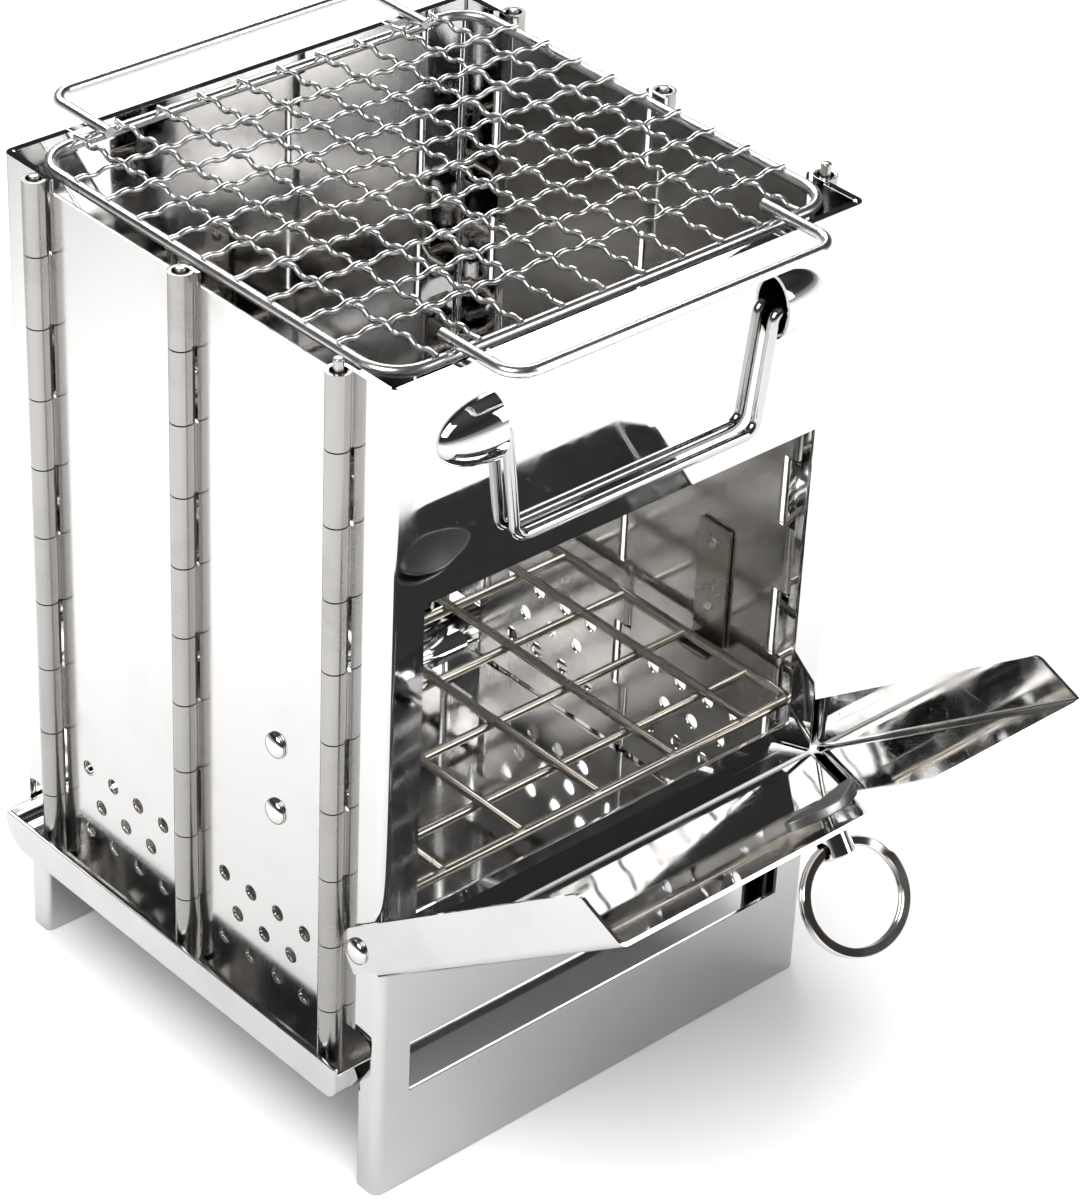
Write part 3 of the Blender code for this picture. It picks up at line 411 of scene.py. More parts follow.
def hem_edges(level, in_band):
    """Thicken the inner side of the band under the top edge, as a folded hem."""
    bpy.ops.object.mode_set(mode="EDIT")
    cut((0, 0, level - HEM), (0, 0, 1), in_band)
    pick("FACE", lambda face: in_band(face) and mid(face).z > level - HEM)
    bpy.ops.mesh.extrude_region_shrink_fatten(TRANSFORM_OT_shrink_fatten={"value": SHEET})
    object_mode()


def panel(name, face_y, inwards, openings):
    """A panel folded round to its hinge knuckles, with legs whose edges turn in."""
    reach = WALL - BEND_RADIUS
    sheet_y = face_y + inwards * SHEET / 2
    piece = upright_plane(name, (-reach, 0), (reach, TOP), sheet_y)
    for half, low, high in openings:
        for x in (-half, half):
            cut((x, 0, 0), (1, 0, 0))
        for z in (low, high):
            cut((0, 0, z), (0, 0, 1))
    for half, low, high in openings:
        delete_faces(lambda face: abs(mid(face).x) < half and low < mid(face).z < high)
    for side in (-1, 1):
        pick("EDGE", edge_at(x=side * reach))
        spin(side * inwards * pi / 2, 6, (side * reach, sheet_y + inwards * BEND_RADIUS, 0), (0, 0, 1))
        extrude(y=inwards * (LEG_DEPTH - LEG_BEND - BEND_RADIUS - SHEET))
    leg_y = sheet_y + inwards * (LEG_DEPTH - LEG_BEND - SHEET)
    for side in (-1, 1):
        def on_flange(face):
            return near(mid(face).x, side * WALL)

        for z in (TRAY_BOTTOM - KNUCKLE_GAP, NOTCH_TOP):
            cut((0, 0, z), (0, 0, 1), on_flange)
        pick("EDGE", lambda edge: edge_at(x=side * WALL, y=leg_y)(edge) and mid(edge).z < TRAY_BOTTOM)
        spin(side * inwards * pi / 2, 5, (side * (WALL - LEG_BEND), leg_y, 0), (0, 0, 1))
        extrude(x=-side * (LEG_RETURN - LEG_BEND - SHEET))
        pick("EDGE", lambda edge: edge_at(x=side * WALL, y=leg_y)(edge) and mid(edge).z > NOTCH_TOP)
        pin_y = PIN_PLACES["front"] if inwards > 0 else PIN_PLACES["rear"]
        edge_y = pin_y - inwards * SHEET_CLEARANCE
        extrude(y=edge_y - leg_y)
        roll_knuckles(side, edge_y, pin_y, range(0, KNUCKLES, 2))
    give_thickness(piece)

    def inner_band(face):
        centre, normal = mid(face), face.normal
        if abs(centre.x) > EYE_CENTRE - EYE_RADIUS + SHEET / 4 or abs(normal.z) > 0.5:
            return False
        flat = normal.y * inwards > 0.9 and near(centre.y, sheet_y + inwards * SHEET / 2)
        beside = normal.x * centre.x < 0 and abs(centre.x) > HALF - 2.2 * SHEET
        beyond = (centre.y - edge_y) * inwards > 0
        return (flat or (beside and abs(normal.z) < 0.1)) and not beyond

    hem_edges(TOP, inner_band)
    return piece


def side_cutter(name, outline):
    """A prism across the whole stove from a side view in (y, z)."""
    piece = bare(name)
    mesh = bmesh.from_edit_mesh(piece.data)
    mesh.faces.new([mesh.verts.new((-2 * HALF, y, z)) for y, z in outline])
    bmesh.update_edit_mesh(piece.data)
    pick("FACE", lambda face: True)
    extrude(x=4 * HALF)
    close_up()
    object_mode()
    return piece


def notch(inwards, face_y, reach, slope):
    """What is cut from both flanges where the tray passes through."""
    fillet = arc((reach + NOTCH_FILLET, NOTCH_TOP - NOTCH_FILLET), NOTCH_FILLET, 90, 180, 8)
    past = LEG_DEPTH + 4 * MM
    outline = [(past, NOTCH_TOP)] + fillet + slope + [(past, slope[-1][1])]
    return side_cutter("notch", [(face_y + inwards * y, z) for y, z in outline])


def pressed_pocket(side):
    """A quarter dome pressed out of the front panel, open towards the middle."""
    fresh()
    bpy.ops.mesh.primitive_uv_sphere_add(
        segments=48, ring_count=24, radius=1, rotation=(0, pi / 2, 0),
        location=(side * POCKET_MOUTH, FRONT_FACE + SHEET / 2, BAIL_AXIS.z))
    piece = bpy.context.object
    bpy.ops.object.transform_apply(location=False, rotation=True, scale=False)
    piece.scale = POCKET_SIZE
    take("pocket")
    for normal in ((side, 0, 0), (0, -1, 0)):
        bpy.ops.mesh.select_all(action="SELECT")
        bpy.ops.mesh.bisect(plane_co=(side * POCKET_MOUTH, FRONT_FACE + SHEET / 2, BAIL_AXIS.z),
                            plane_no=normal, clear_inner=True)
    give_thickness(piece, 0.9 * MM, -1)
    return piece


def front_panel():
    piece = panel("front_sheet", FRONT_FACE, 1,
                  [(WINDOW_HALF, WINDOW_BOTTOM, WINDOW_TOP), (SLOT_HALF, SLOT_BOTTOM, SLOT_TOP)])
    slope = [(2.8 * MM, 38.8 * MM), (LEG_DEPTH + 0.1 * MM, TRAY_BOTTOM - KNUCKLE_GAP)]
    cut_away(piece, notch(1, FRONT_FACE, 2.8 * MM, slope))
    soften(piece)
    pockets = [soften(pressed_pocket(side), 0.25 * MM) for side in (-1, 1)]
    return join("front_sheet", [piece, *pockets])


def back_panel():
    piece = panel("back_sheet", BACK_FACE, -1, [])
    curve = arc((9.7 * MM, TRAY_BOTTOM + 8 * MM), 8.6 * MM, 180, 258, 8)
    cut_away(piece, notch(-1, BACK_FACE, 1.2 * MM, curve))
    return soften(piece)


def leaf(name, first, second, own_first, own_second, rivets):
    """A right-hand wall leaf with a row of knuckles at each end."""
    first_y, second_y = PIN_PLACES[first], PIN_PLACES[second]
    low, high = first_y + SHEET_CLEARANCE, second_y - SHEET_CLEARANCE
    fresh()
    bpy.ops.mesh.primitive_plane_add(
        size=1, location=(WALL, (low + high) / 2, (HINGE_BOTTOM + TOP) / 2), rotation=(0, pi / 2, 0))
    bpy.context.object.scale = (TOP - HINGE_BOTTOM, high - low, 1)
    piece = take(name)
    roll_knuckles(1, low, first_y, own_first)
    roll_knuckles(1, high, second_y, own_second)
    give_thickness(piece)
    beside = EYE_RADIUS + 0.4 * MM
    top_cut = block("leaf_top", (HALF - 2 * SHEET, first_y + beside, LEAF_TOP),
                    (HALF + 2 * SHEET, second_y - beside, TOP + SHEET))
    object_mode()
    cut_away(piece, top_cut)
    holes = []
    for row, count in enumerate(VENT_ROWS):
        for i in range(count):
            y = (first_y + second_y) / 2 + (i - (count - 1) / 2) * VENT_PITCH
            holes.append((y, LOWEST_VENTS + row * VENT_ROW_PITCH, VENT_RADIUS))
    holes += [(first_y + RIVET_SETBACK, z, RIVET_HOLE_RADIUS) for z in rivets]
    for y, z, radius in holes:
        hole = rod("hole", (WALL - 3 * SHEET, y, z), (WALL + 3 * SHEET, y, z), radius)
        object_mode()
        cut_away(piece, hole)
    return soften(piece, 0.15 * MM)


def ash_tray():
    """Trough with curved ends and an upright lip along each side."""
    low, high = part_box("ash_tray")
    half = high.x - SHEET / 2
    floor = low.z + SHEET / 2
    front, rear = low.y + SHEET / 2, high.y - SHEET / 2
    front_bend, rear_bend = 3.0 * MM, 7.5 * MM
    front_rise, rear_rise = 4.0 * MM, 1.6 * MM      # straight sheet above each bend
    piece = level_plane("tray_sheet", (-half, front + front_bend), (half, rear - rear_bend), floor)
    pick("EDGE", edge_at(y=front + front_bend))
    spin(-pi / 2, 8, (0, front + front_bend, floor + front_bend), (1, 0, 0))
    extrude(z=front_rise)
    pick("EDGE", edge_at(y=rear - rear_bend))
    spin(pi / 2, 12, (0, rear - rear_bend, floor + rear_bend), (1, 0, 0))
    extrude(z=rear_rise)
    give_thickness(piece)
    lips = []
    for side in (-1, 1):
        fresh()
        bpy.ops.mesh.primitive_plane_add(
            size=1, rotation=(0, pi / 2, 0),
            location=(side * half, (low.y + high.y) / 2, (low.z + high.z) / 2))
        bpy.context.object.scale = (high.z - low.z, high.y - low.y, 1)
        lip = take("tray_lip")
        for end, corner, steps in ((low.y, 3.5 * MM, 8), (high.y, 8.0 * MM, 12)):
            pick("VERT", lambda v: near(v.co.z, low.z) and near(v.co.y, end))
            bpy.ops.mesh.bevel(offset=corner, offset_type="OFFSET", segments=steps, affect="VERTICES")
        lips.append(soften(give_thickness(lip, 1.3 * MM), 0.35 * MM, 3))
    return join("tray_sheet", [soften(piece), *lips])


def door_place():
    return Matrix.Translation(DOOR_AXIS) @ Matrix.Rotation(-DOOR_ANGLE, 4, "X")


def door():
    """Plate with a cheek folded up at each side, drawn level about its hinge axis."""
    inside = HALF + DOOR_SIDE_GAP
    wall = inside + SHEET / 2
    level = -PLATE_DROP - SHEET / 2
    flat = wall - DOOR_BEND
    piece = level_plane("door_sheet", (-flat, -DOOR_REACH), (flat, HEEL_RADIUS), level)
    for side in (-1, 1):
        pick("EDGE", edge_at(x=side * flat))
        spin(-side * pi / 2, 6, (side * flat, 0, level + DOOR_BEND), (0, 1, 0))
        extrude(z=CHEEK_TOP - level - DOOR_BEND)
    give_thickness(piece)
    far = DOOR_REACH + 3 * SHEET
    low = level - 3 * SHEET
    tip = -DOOR_REACH + CHEEK_SETBACK
    slant = [(-far, low), (-far, CHEEK_TOP + SHEET), (tip, CHEEK_TOP + SHEET), (tip, CHEEK_TOP)]
    slant += arc((tip, CHEEK_TOP - CHEEK_CORNER), CHEEK_CORNER, 90, 160, 8)
    slant += [(-DOOR_REACH, level + 0.6 * MM), (-DOOR_REACH, low)]
    heel = [(0, CHEEK_TOP + SHEET), (0, CHEEK_TOP)] + arc((0, 0), HEEL_RADIUS, 83, 0, 10)
    heel += [(HEEL_RADIUS, low), (far, low), (far, CHEEK_TOP + SHEET)]
    heel_cut = block("heel", (-2 * HALF, -DOOR_REAR, low), (2 * HALF, far, -HEEL_RADIUS))
    object_mode()
    hole = rod("hole", (0, -LATCH_PLACE, level - SHEET), (0, -LATCH_PLACE, level + SHEET), 1.9 * MM)
    object_mode()
    cut_away(piece, side_cutter("slant", slant), side_cutter("heel_round", heel), heel_cut, hole)
    piece.data.transform(door_place())
    return soften(piece)


# ---------------------------------------------------------------- rivets, pins and brackets

def dome_rivet(name, place, out, length=2.6 * MM):
    """A rivet with a domed head on the outer side and a flattened tail inside."""
    radius, height, rim = 3.4 * MM, 1.6 * MM, 0.25 * MM
    shank_radius = 1.6 * MM
    tail_flare, tail_height = 0.9 * MM, 0.8 * MM
    fresh()
    bpy.ops.mesh.primitive_uv_sphere_add(segments=32, ring_count=16, radius=radius)
    bpy.context.object.scale = (1, 1, height / radius)
    piece = take(name)
    pick("VERT", lambda v: v.co.z < -1e-6)
    bpy.ops.mesh.delete(type="VERT")
    pick("EDGE", lambda edge: edge.is_boundary)
    extrude(z=-rim)
    bpy.ops.mesh.edge_face_add()
    bpy.ops.mesh.inset(thickness=radius - shank_radius)
    extrude(z=-length + rim)
    bpy.ops.mesh.inset(thickness=-tail_flare, use_even_offset=False)
    extrude(z=-tail_height)
    bpy.ops.transform.resize(value=(0.8, 0.8, 1), center_override=(0, 0, -length - tail_height))
    close_up()
    soften(piece, 0.12 * MM)
    turn = Vector(out).to_track_quat("Z", "Y").to_matrix().to_4x4()
    piece.data.transform(Matrix.Translation(place) @ turn)
    return piece


def hinge_pin(name):
    """A drawn pin with rounded ends."""
    low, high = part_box(name)
    x, y, radius = (low.x + high.x) / 2, (low.y + high.y) / 2, (high.x - low.x) / 2
    piece = rod(f"{name}_wire", (x, y, low.z), (x, y, high.z), radius, 24)
    pick("FACE", lambda face: abs(face.normal.z) > 0.9)
    bpy.ops.mesh.bevel(offset=0.45 * MM, segments=3, affect="EDGES")
    close_up()
    object_mode()
    bpy.ops.object.shade_smooth_by_angle(angle=radians(40))
    return piece


def angle_bracket(name, axis, side, node_name):
    """An L of sheet: its upright plate on the wall at that side of the axis, its shelf under the grate."""
    low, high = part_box(node_name)
    centre = (low + high) / 2
    size = high - low
    fresh()
    if axis == "x":
        wall = (high.x if side > 0 else low.x) - side * SHEET / 2
        bpy.ops.mesh.primitive_plane_add(size=1, location=(wall, centre.y, centre.z), rotation=(0, pi / 2, 0))
        bpy.context.object.scale = (size.z, size.y, 1)
        out, reach = Vector((-side, 0, 0)), size.x - SHEET / 2
    else:
        wall = high.y - SHEET / 2
        bpy.ops.mesh.primitive_plane_add(size=1, location=(centre.x, wall, centre.z), rotation=(pi / 2, 0, 0))
        bpy.context.object.scale = (size.x, size.z, 1)
        out, reach = Vector((0, -1, 0)), size.y - SHEET / 2
    piece = take(name)
    pick("EDGE", lambda edge: near(mid(edge).z, low.z))
    bpy.ops.transform.translate(value=(0, 0, BRACKET_BEND + SHEET / 2))
    hinge = low.z + SHEET / 2 + BRACKET_BEND
    pivot = Vector((wall, 0, hinge)) if axis == "x" else Vector((0, wall, hinge))
    pivot += out * BRACKET_BEND
    spin(-pi / 2, 5, pivot, Vector((0, 0, 1)).cross(out))
    extrude(*(out * (reach - BRACKET_BEND)))
    give_thickness(piece)
    return soften(piece, 0.15 * MM)


# ---------------------------------------------------------------- wire parts

def rounded_loop(low, high, corner, steps=8):
    """(x, y) points round a rectangle with rounded corners."""
    loop = []
    corners = ((high[0], high[1], 0), (low[0], high[1], 90), (low[0], low[1], 180), (high[0], low[1], 270))
    for x, y, start in corners:
        centre = (x - corner * (1 if x == high[0] else -1), y - corner * (1 if y == high[1] else -1))
        loop += arc(centre, corner, start, start + 90, steps)
    return loop


def crimp(distance, phase):
    """Height of a crimped wire as a share of its swing: three half waves to each crossing."""
    swing = cos(3 * pi * distance + phase)
    return swing * (1.45 - 0.45 * swing * swing)


def woven_grill():
    """Frame wire with crimped wires woven over and under each other, their ends welded on it."""
    half = -GRILL_LOW.x - FRAME_WIRE
    low_y, high_y = GRILL_LOW.y + FRAME_WIRE, GRILL_HIGH.y - FRAME_WIRE
    middle_y = (low_y + high_y) / 2
    axis_z = GRILL_LOW.z + FRAME_WIRE
    level = axis_z + FRAME_WIRE + 0.5 * NET_WIRE
    loop = rounded_loop((-half, low_y), (half, high_y), 10 * MM)
    pieces = [wire("grill_net", [(x, y, axis_z) for x, y in loop], FRAME_WIRE, cyclic=True, around=5)]
    per_pitch = 18
    past = 0.5 * MM         # how far a strand's end goes over the frame's middle

    def strand(name, along, count, pitch, reach, phase, swing):
        points = []
        steps = int(2 * reach / pitch * per_pitch)
        first = -(count - 1) / 2
        for i in range(steps + 1):
            place = -reach + 2 * reach * i / steps
            ease = min(1, (reach - abs(place)) / (5 * MM))
            height = level + swing * ease * crimp(place / pitch - first, phase)
            points.append((*along(place), height))
        return wire(name, points, NET_WIRE, around=2)

    for i in range(LONG_STRANDS):
        x = (i - (LONG_STRANDS - 1) / 2) * LONG_PITCH
        pieces.append(strand("long_strand", lambda t: (x, middle_y + t), CROSS_STRANDS, CROSS_PITCH,
                             (high_y - low_y) / 2 + past, i * pi, LONG_SWING))
    for j in range(CROSS_STRANDS):
        y = middle_y + (j - (CROSS_STRANDS - 1) / 2) * CROSS_PITCH
        pieces.append(strand("cross_strand", lambda t: (t, y), LONG_STRANDS, LONG_PITCH,
                             half + past, j * pi, -CROSS_SWING))
    return join("grill_net", pieces)


def grill_handle(name, direction):
    """A U of frame wire, its legs welded over the frame."""
    low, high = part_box(name)
    half = high.x - FRAME_WIRE
    bar = (low.y if direction < 0 else high.y) - direction * FRAME_WIRE
    inside = high.y if direction < 0 else low.y
    level = (low.z + high.z) / 2
    bend = 6 * MM
    corner = arc((half - bend, 0), bend, 0, 90, 10)
    right = [(half, inside)] + [(x, bar + direction * (y - bend)) for x, y in corner]
    route = right + [(-x, y) for x, y in reversed(right)]
    return wire(f"{name}_wire", [(x, y, level) for x, y in route], FRAME_WIRE, around=6)


def fire_grate():
    """Frame wire with straight wires welded across it, the long ones on top."""
    half = -GRATE_LOW.x - FRAME_WIRE
    low_y, high_y = GRATE_LOW.y + FRAME_WIRE, GRATE_HIGH.y - FRAME_WIRE
    axis_z = GRATE_LOW.z + GRATE_WIRE
    upper = GRATE_HIGH.z - GRATE_WIRE
    loop = rounded_loop((-half, low_y), (half, high_y), 3 * MM, 5)
    pieces = [wire("grate_net", [(x, y, axis_z) for x, y in loop], FRAME_WIRE, cyclic=True, around=5)]
    for i in range(GRATE_BARS):
        x = (i - (GRATE_BARS - 1) / 2) * LONG_BAR_PITCH
        ends = [(x, low_y - MM, upper), (x, high_y + MM, upper)]
        pieces.append(wire("long_bar", ends, GRATE_WIRE, around=5))
    for j in range(GRATE_BARS):
        y = low_y + FIRST_CROSS_BAR + j * CROSS_BAR_PITCH
        pieces.append(wire("cross_bar", [(-half, y, axis_z), (half, y, axis_z)], GRATE_WIRE, around=5))
    return join("grate_net", pieces)


def carrying_handle():
    """A wire U whose ends turn out into the pressed pockets."""
    top, low = BAIL_AXIS.z, BAIL_AXIS.z - BAIL_DROP
    bend, corner = BAIL_RADIUS * 1.6, 4 * MM
    right = [(BAIL_TOP_HALF + 9 * MM, top)]
    right += arc((BAIL_TOP_HALF + bend, top - bend), bend, 90, 175, 6)
    right += arc((BAIL_BOTTOM_HALF - corner, low + corner), corner, 5, -90, 8)
    route = right + [(-x, z) for x, z in reversed(right)]
    return wire("handle_wire", [(x, BAIL_AXIS.y, z) for x, z in route], BAIL_RADIUS, around=6)


# ---------------------------------------------------------------- latch and ring

def latch_plate():
    """An oval turn plate whose one end is bent up as a thumb tab."""
    fresh()
    bpy.ops.mesh.primitive_cylinder_add(vertices=64, radius=1, depth=1)
    half_length, half_width, thickness = 11 * MM, 4.6 * MM, 2.2 * MM
    tab_rise, tab_lift, crown = 2.5 * MM, 1.1 * MM, 0.4 * MM
    bpy.context.object.scale = (half_length, half_width, thickness)
    piece = take("latch_thumb")
    for x in (-8, -5, -2, 2, 4, 6, 8):
        cut((x * MM, 0, 0), (1, 0, 0))
    for y in (-1.5, 1.5):
        cut((0, y * MM, 0), (0, 1, 0))
    pick("VERT", lambda v: True)
    mesh = bmesh.from_edit_mesh(piece.data)
    for vertex in mesh.verts:
        x, y = vertex.co.x / half_length, vertex.co.y / half_width
        vertex.co.y *= 1 - 0.22 * abs(x) ** 2.5
        lift = max(0.0, (x - 0.1) / 0.9) ** 1.4
        if vertex.co.z > 0:
            vertex.co.z += crown * (1 - y * y) * (1 - x * x) + tab_rise * lift
        else:
            vertex.co.z += tab_lift * lift
    bmesh.update_edit_mesh(piece.data)
    close_up()
    object_mode()
    seat = -PLATE_DROP + 1.75 * MM + thickness / 2
    piece.data.transform(door_place() @ Matrix.Translation((0, -LATCH_PLACE, seat)))
    return soften(piece, 0.35 * MM, 3, 50)


def latch_stem():
    """A short turned post under the door with a cross hole for the ring."""
    under = -PLATE_DROP - SHEET
    length, neck_radius, neck_length = 7.2 * MM, 1.6 * MM, 3.4 * MM
    piece = rod("latch_post", (0, 0, under - length), (0, 0, under - 0.3 * MM), POST_RADIUS, 40)
    pick("FACE", lambda face: face.normal.z > 0.9)
    bpy.ops.mesh.inset(thickness=POST_RADIUS - neck_radius)
    extrude(z=neck_length)
    pick("EDGE", lambda edge: near(mid(edge).z, under - length) and len(edge.link_faces) == 2
         and abs(edge.link_faces[0].normal.z - edge.link_faces[1].normal.z) > 0.5)
    bpy.ops.mesh.bevel(offset=0.45 * MM, segments=3, affect="EDGES")
    close_up()
    object_mode()
    level = under - RING_HOLE_DROP
    hole = rod("hole", (-6 * MM, 0, level), (6 * MM, 0, level), 2.1 * MM, 24)
    object_mode()
    cut_away(piece, hole)
    piece.data.transform(door_place() @ Matrix.Translation((0, -LATCH_PLACE, 0)))
    return soften(piece, 0.15 * MM)


def split_ring():
    """A key ring: two turns of flat wire lying on each other, each end stepped across."""
    low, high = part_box("split_ring")
    radius = (high.x - low.x) / 2 - 1.0 * MM
    wide, thick = 1.2 * MM, 2.3 * MM
    step = 0.63 * MM
    turns, per_turn = 1.94, 90
    start = radians(152)
    piece = bare("key_ring")
    mesh = bmesh.from_edit_mesh(piece.data)
    section = ((0.72, 1), (1, 0.6), (1, -0.6), (0.72, -1), (-0.72, -1), (-1, -0.6), (-1, 0.6), (-0.72, 1))
    corners = [(a * thick / 2, b * wide / 2) for a, b in section]
    sides = len(section)
    rings = []
    count = int(turns * per_turn)
    for i in range(count + 1):
        turn = i / per_turn
        share = min(1, max(0, (turn - (turns - 1) / 2 - 0.44) / 0.12))
        side = step * (2 * (share * share * (3 - 2 * share)) - 1)
        angle = start + 2 * pi * turn
        taper = 0.75 if i in (0, count) else 1
        ring = []
        for r, a in corners:
            distance = radius + r * taper
            ring.append(mesh.verts.new((side + a * taper, distance * cos(angle), distance * sin(angle))))
        rings.append(ring)
    for first, second in zip(rings, rings[1:]):
        for k in range(sides):
            after = (k + 1) % sides
            mesh.faces.new((first[k], first[after], second[after], second[k]))
    mesh.faces.new(rings[0])
    mesh.faces.new(rings[-1][::-1])
    bmesh.update_edit_mesh(piece.data)
    close_up()
    object_mode()
    bpy.ops.object.shade_smooth_by_angle(angle=radians(30))
    centre = (low + high) / 2
    tilt = Matrix.Rotation(-DOOR_ANGLE, 4, "X") @ Matrix.Rotation(RING_TURN, 4, "Z")
    piece.data.transform(Matrix.Translation(centre) @ tilt @ Matrix.Rotation(pi / 2, 4, "Z"))
    return piece


# ---------------------------------------------------------------- finishes

def group(name, inputs, outputs):
    """An empty shader node group, its inputs as (name, type, value) and outputs as (name, type)."""
    tree = bpy.data.node_groups.new(name, "ShaderNodeTree")
    for title, kind, value in inputs:
        socket = tree.interface.new_socket(title, in_out="INPUT", socket_type=kind)
        if value is not None:
            socket.default_value = value
    for title, kind in outputs:
        tree.interface.new_socket(title, in_out="OUTPUT", socket_type=kind)
    return tree, tree.nodes.new("NodeGroupInput"), tree.nodes.new("NodeGroupOutput")


def give(tree, value, socket):
    """Link the value to the socket if it is another socket, or else set it."""
    if isinstance(value, bpy.types.NodeSocket):
        tree.links.new(value, socket)
    else:
        socket.default_value = value


def node(tree, kind, inputs=(), **settings):
    made = tree.nodes.new(kind)
    for title, value in settings.items():
        setattr(made, title, value)
    for key, value in dict(inputs).items():
        give(tree, value, made.inputs[key])
    return made


def maths(tree, operation, first, second):
    return node(tree, "ShaderNodeMath", {0: first, 1: second}, operation=operation).outputs[0]


def noise(tree, point, scale, detail, roughness=0.5):
    return node(tree, "ShaderNodeTexNoise", {"Vector": point, "Scale": scale, "Detail": detail,
                                             "Roughness": roughness})


def ranged(tree, value, low, high, first, last):
    """The value eased from first at low to last at high."""
    sockets = {"Value": value, "From Min": low, "From Max": high, "To Min": first, "To Max": last}
    return node(tree, "ShaderNodeMapRange", sockets, interpolation_type="SMOOTHSTEP").outputs[0]


def rubbing_marks():
    """Fine scratches in three directions, as a height and a mask."""
    tree, given, out = group("rubbing_marks", [
        ("Point", "NodeSocketVector", None), ("Fineness", "NodeSocketFloat", 900.0)],
        [("Height", "NodeSocketFloat"), ("Marks", "NodeSocketFloat")])
    total = None
    directions = (((0.3, 0.2, 0.4), (1, 1, 0.03)), ((1.2, 0.1, 0.9), (1, 0.04, 1)),
                  ((0.5, 1.4, 0.2), (0.03, 1, 1)))
    for turn, stretch in directions:
        turned = node(tree, "ShaderNodeMapping", {"Vector": given.outputs["Point"], "Rotation": turn,
                                                  "Scale": stretch}).outputs[0]
        lines = noise(tree, turned, given.outputs["Fineness"], 2.0, 0.6).outputs[0]
        thin = ranged(tree, lines, 0.66, 0.78, 0.0, 1.0)
        total = thin if total is None else maths(tree, "MAXIMUM", total, thin)
    patches = noise(tree, given.outputs["Point"], 45.0, 3.0).outputs[0]
    marks = maths(tree, "MULTIPLY", total, ranged(tree, patches, 0.42, 0.66, 0.0, 1.0))
    tree.links.new(marks, out.inputs["Marks"])
    tree.links.new(maths(tree, "MULTIPLY", marks, -1.0), out.inputs["Height"])
    return tree


def handling_smudges():
    """Clouds of finger grease and dried drops, from 0 where clean to 1."""
    tree, given, out = group("handling_smudges", [
        ("Point", "NodeSocketVector", None), ("Scale", "NodeSocketFloat", 28.0)],
        [("Smudges", "NodeSocketFloat")])
    warp = noise(tree, given.outputs["Point"], 60.0, 2.0).outputs["Color"]
    bent = node(tree, "ShaderNodeVectorMath", {0: warp, "Scale": 0.012}, operation="SCALE").outputs[0]
    point = node(tree, "ShaderNodeVectorMath", {0: given.outputs["Point"], 1: bent}, operation="ADD").outputs[0]
    clouds = noise(tree, point, given.outputs["Scale"], 5.0, 0.62).outputs[0]
    cells = node(tree, "ShaderNodeTexVoronoi", {"Vector": point, "Scale": 260.0}, feature="F1")
    drops = ranged(tree, cells.outputs["Distance"], 0.10, 0.16, 1.0, 0.0)
    spots = maths(tree, "MULTIPLY", drops, ranged(tree, clouds, 0.55, 0.62, 0.0, 1.0))
    both = maths(tree, "MAXIMUM", ranged(tree, clouds, 0.48, 0.72, 0.0, 1.0), spots)
    tree.links.new(both, out.inputs["Smudges"])
    return tree


def sheet_waves():
    """The slow unevenness that pressed and folded thin sheet keeps."""
    tree, given, out = group("sheet_waves", [
        ("Point", "NodeSocketVector", None), ("Scale", "NodeSocketFloat", 22.0)],
        [("Height", "NodeSocketFloat")])
    slow = noise(tree, given.outputs["Point"], given.outputs["Scale"], 1.0, 0.3).outputs[0]
    tree.links.new(slow, out.inputs["Height"])
    return tree


def heat_tint():
    """Straw to brown oxide colours in patches, mixed over a base colour."""
    tree, given, out = group("heat_tint", [
        ("Point", "NodeSocketVector", None), ("Base", "NodeSocketColor", (0.7, 0.7, 0.7, 1)),
        ("Amount", "NodeSocketFloat", 0.5), ("Scale", "NodeSocketFloat", 40.0)],
        [("Color", "NodeSocketColor")])
    patches = noise(tree, given.outputs["Point"], given.outputs["Scale"], 3.0).outputs[0]
    ramp = node(tree, "ShaderNodeValToRGB", {"Fac": patches})
    stops = ramp.color_ramp.elements
    stops[0].position, stops[0].color = 0.30, (0.33, 0.27, 0.22, 1)
    stops[1].position, stops[1].color = 0.72, (0.62, 0.60, 0.59, 1)
    straw = stops.new(0.5)
    straw.color = (0.52, 0.44, 0.33, 1)
    mix = node(tree, "ShaderNodeMix", data_type="RGBA")
    tree.links.new(given.outputs["Amount"], mix.inputs["Factor"])
    tree.links.new(given.outputs["Base"], mix.inputs[6])
    tree.links.new(ramp.outputs[0], mix.inputs[7])
    tree.links.new(mix.outputs[2], out.inputs["Color"])
    return tree


GROUPS = {made.name: made for made in (rubbing_marks(), handling_smudges(), sheet_waves(), heat_tint())}


def placed(tree, name, **values):
    """The named node group, put into a material."""
    made = node(tree, "ShaderNodeGroup", node_tree=GROUPS[name])
    for title, value in values.items():
        give(tree, value, made.inputs[title])
    return made


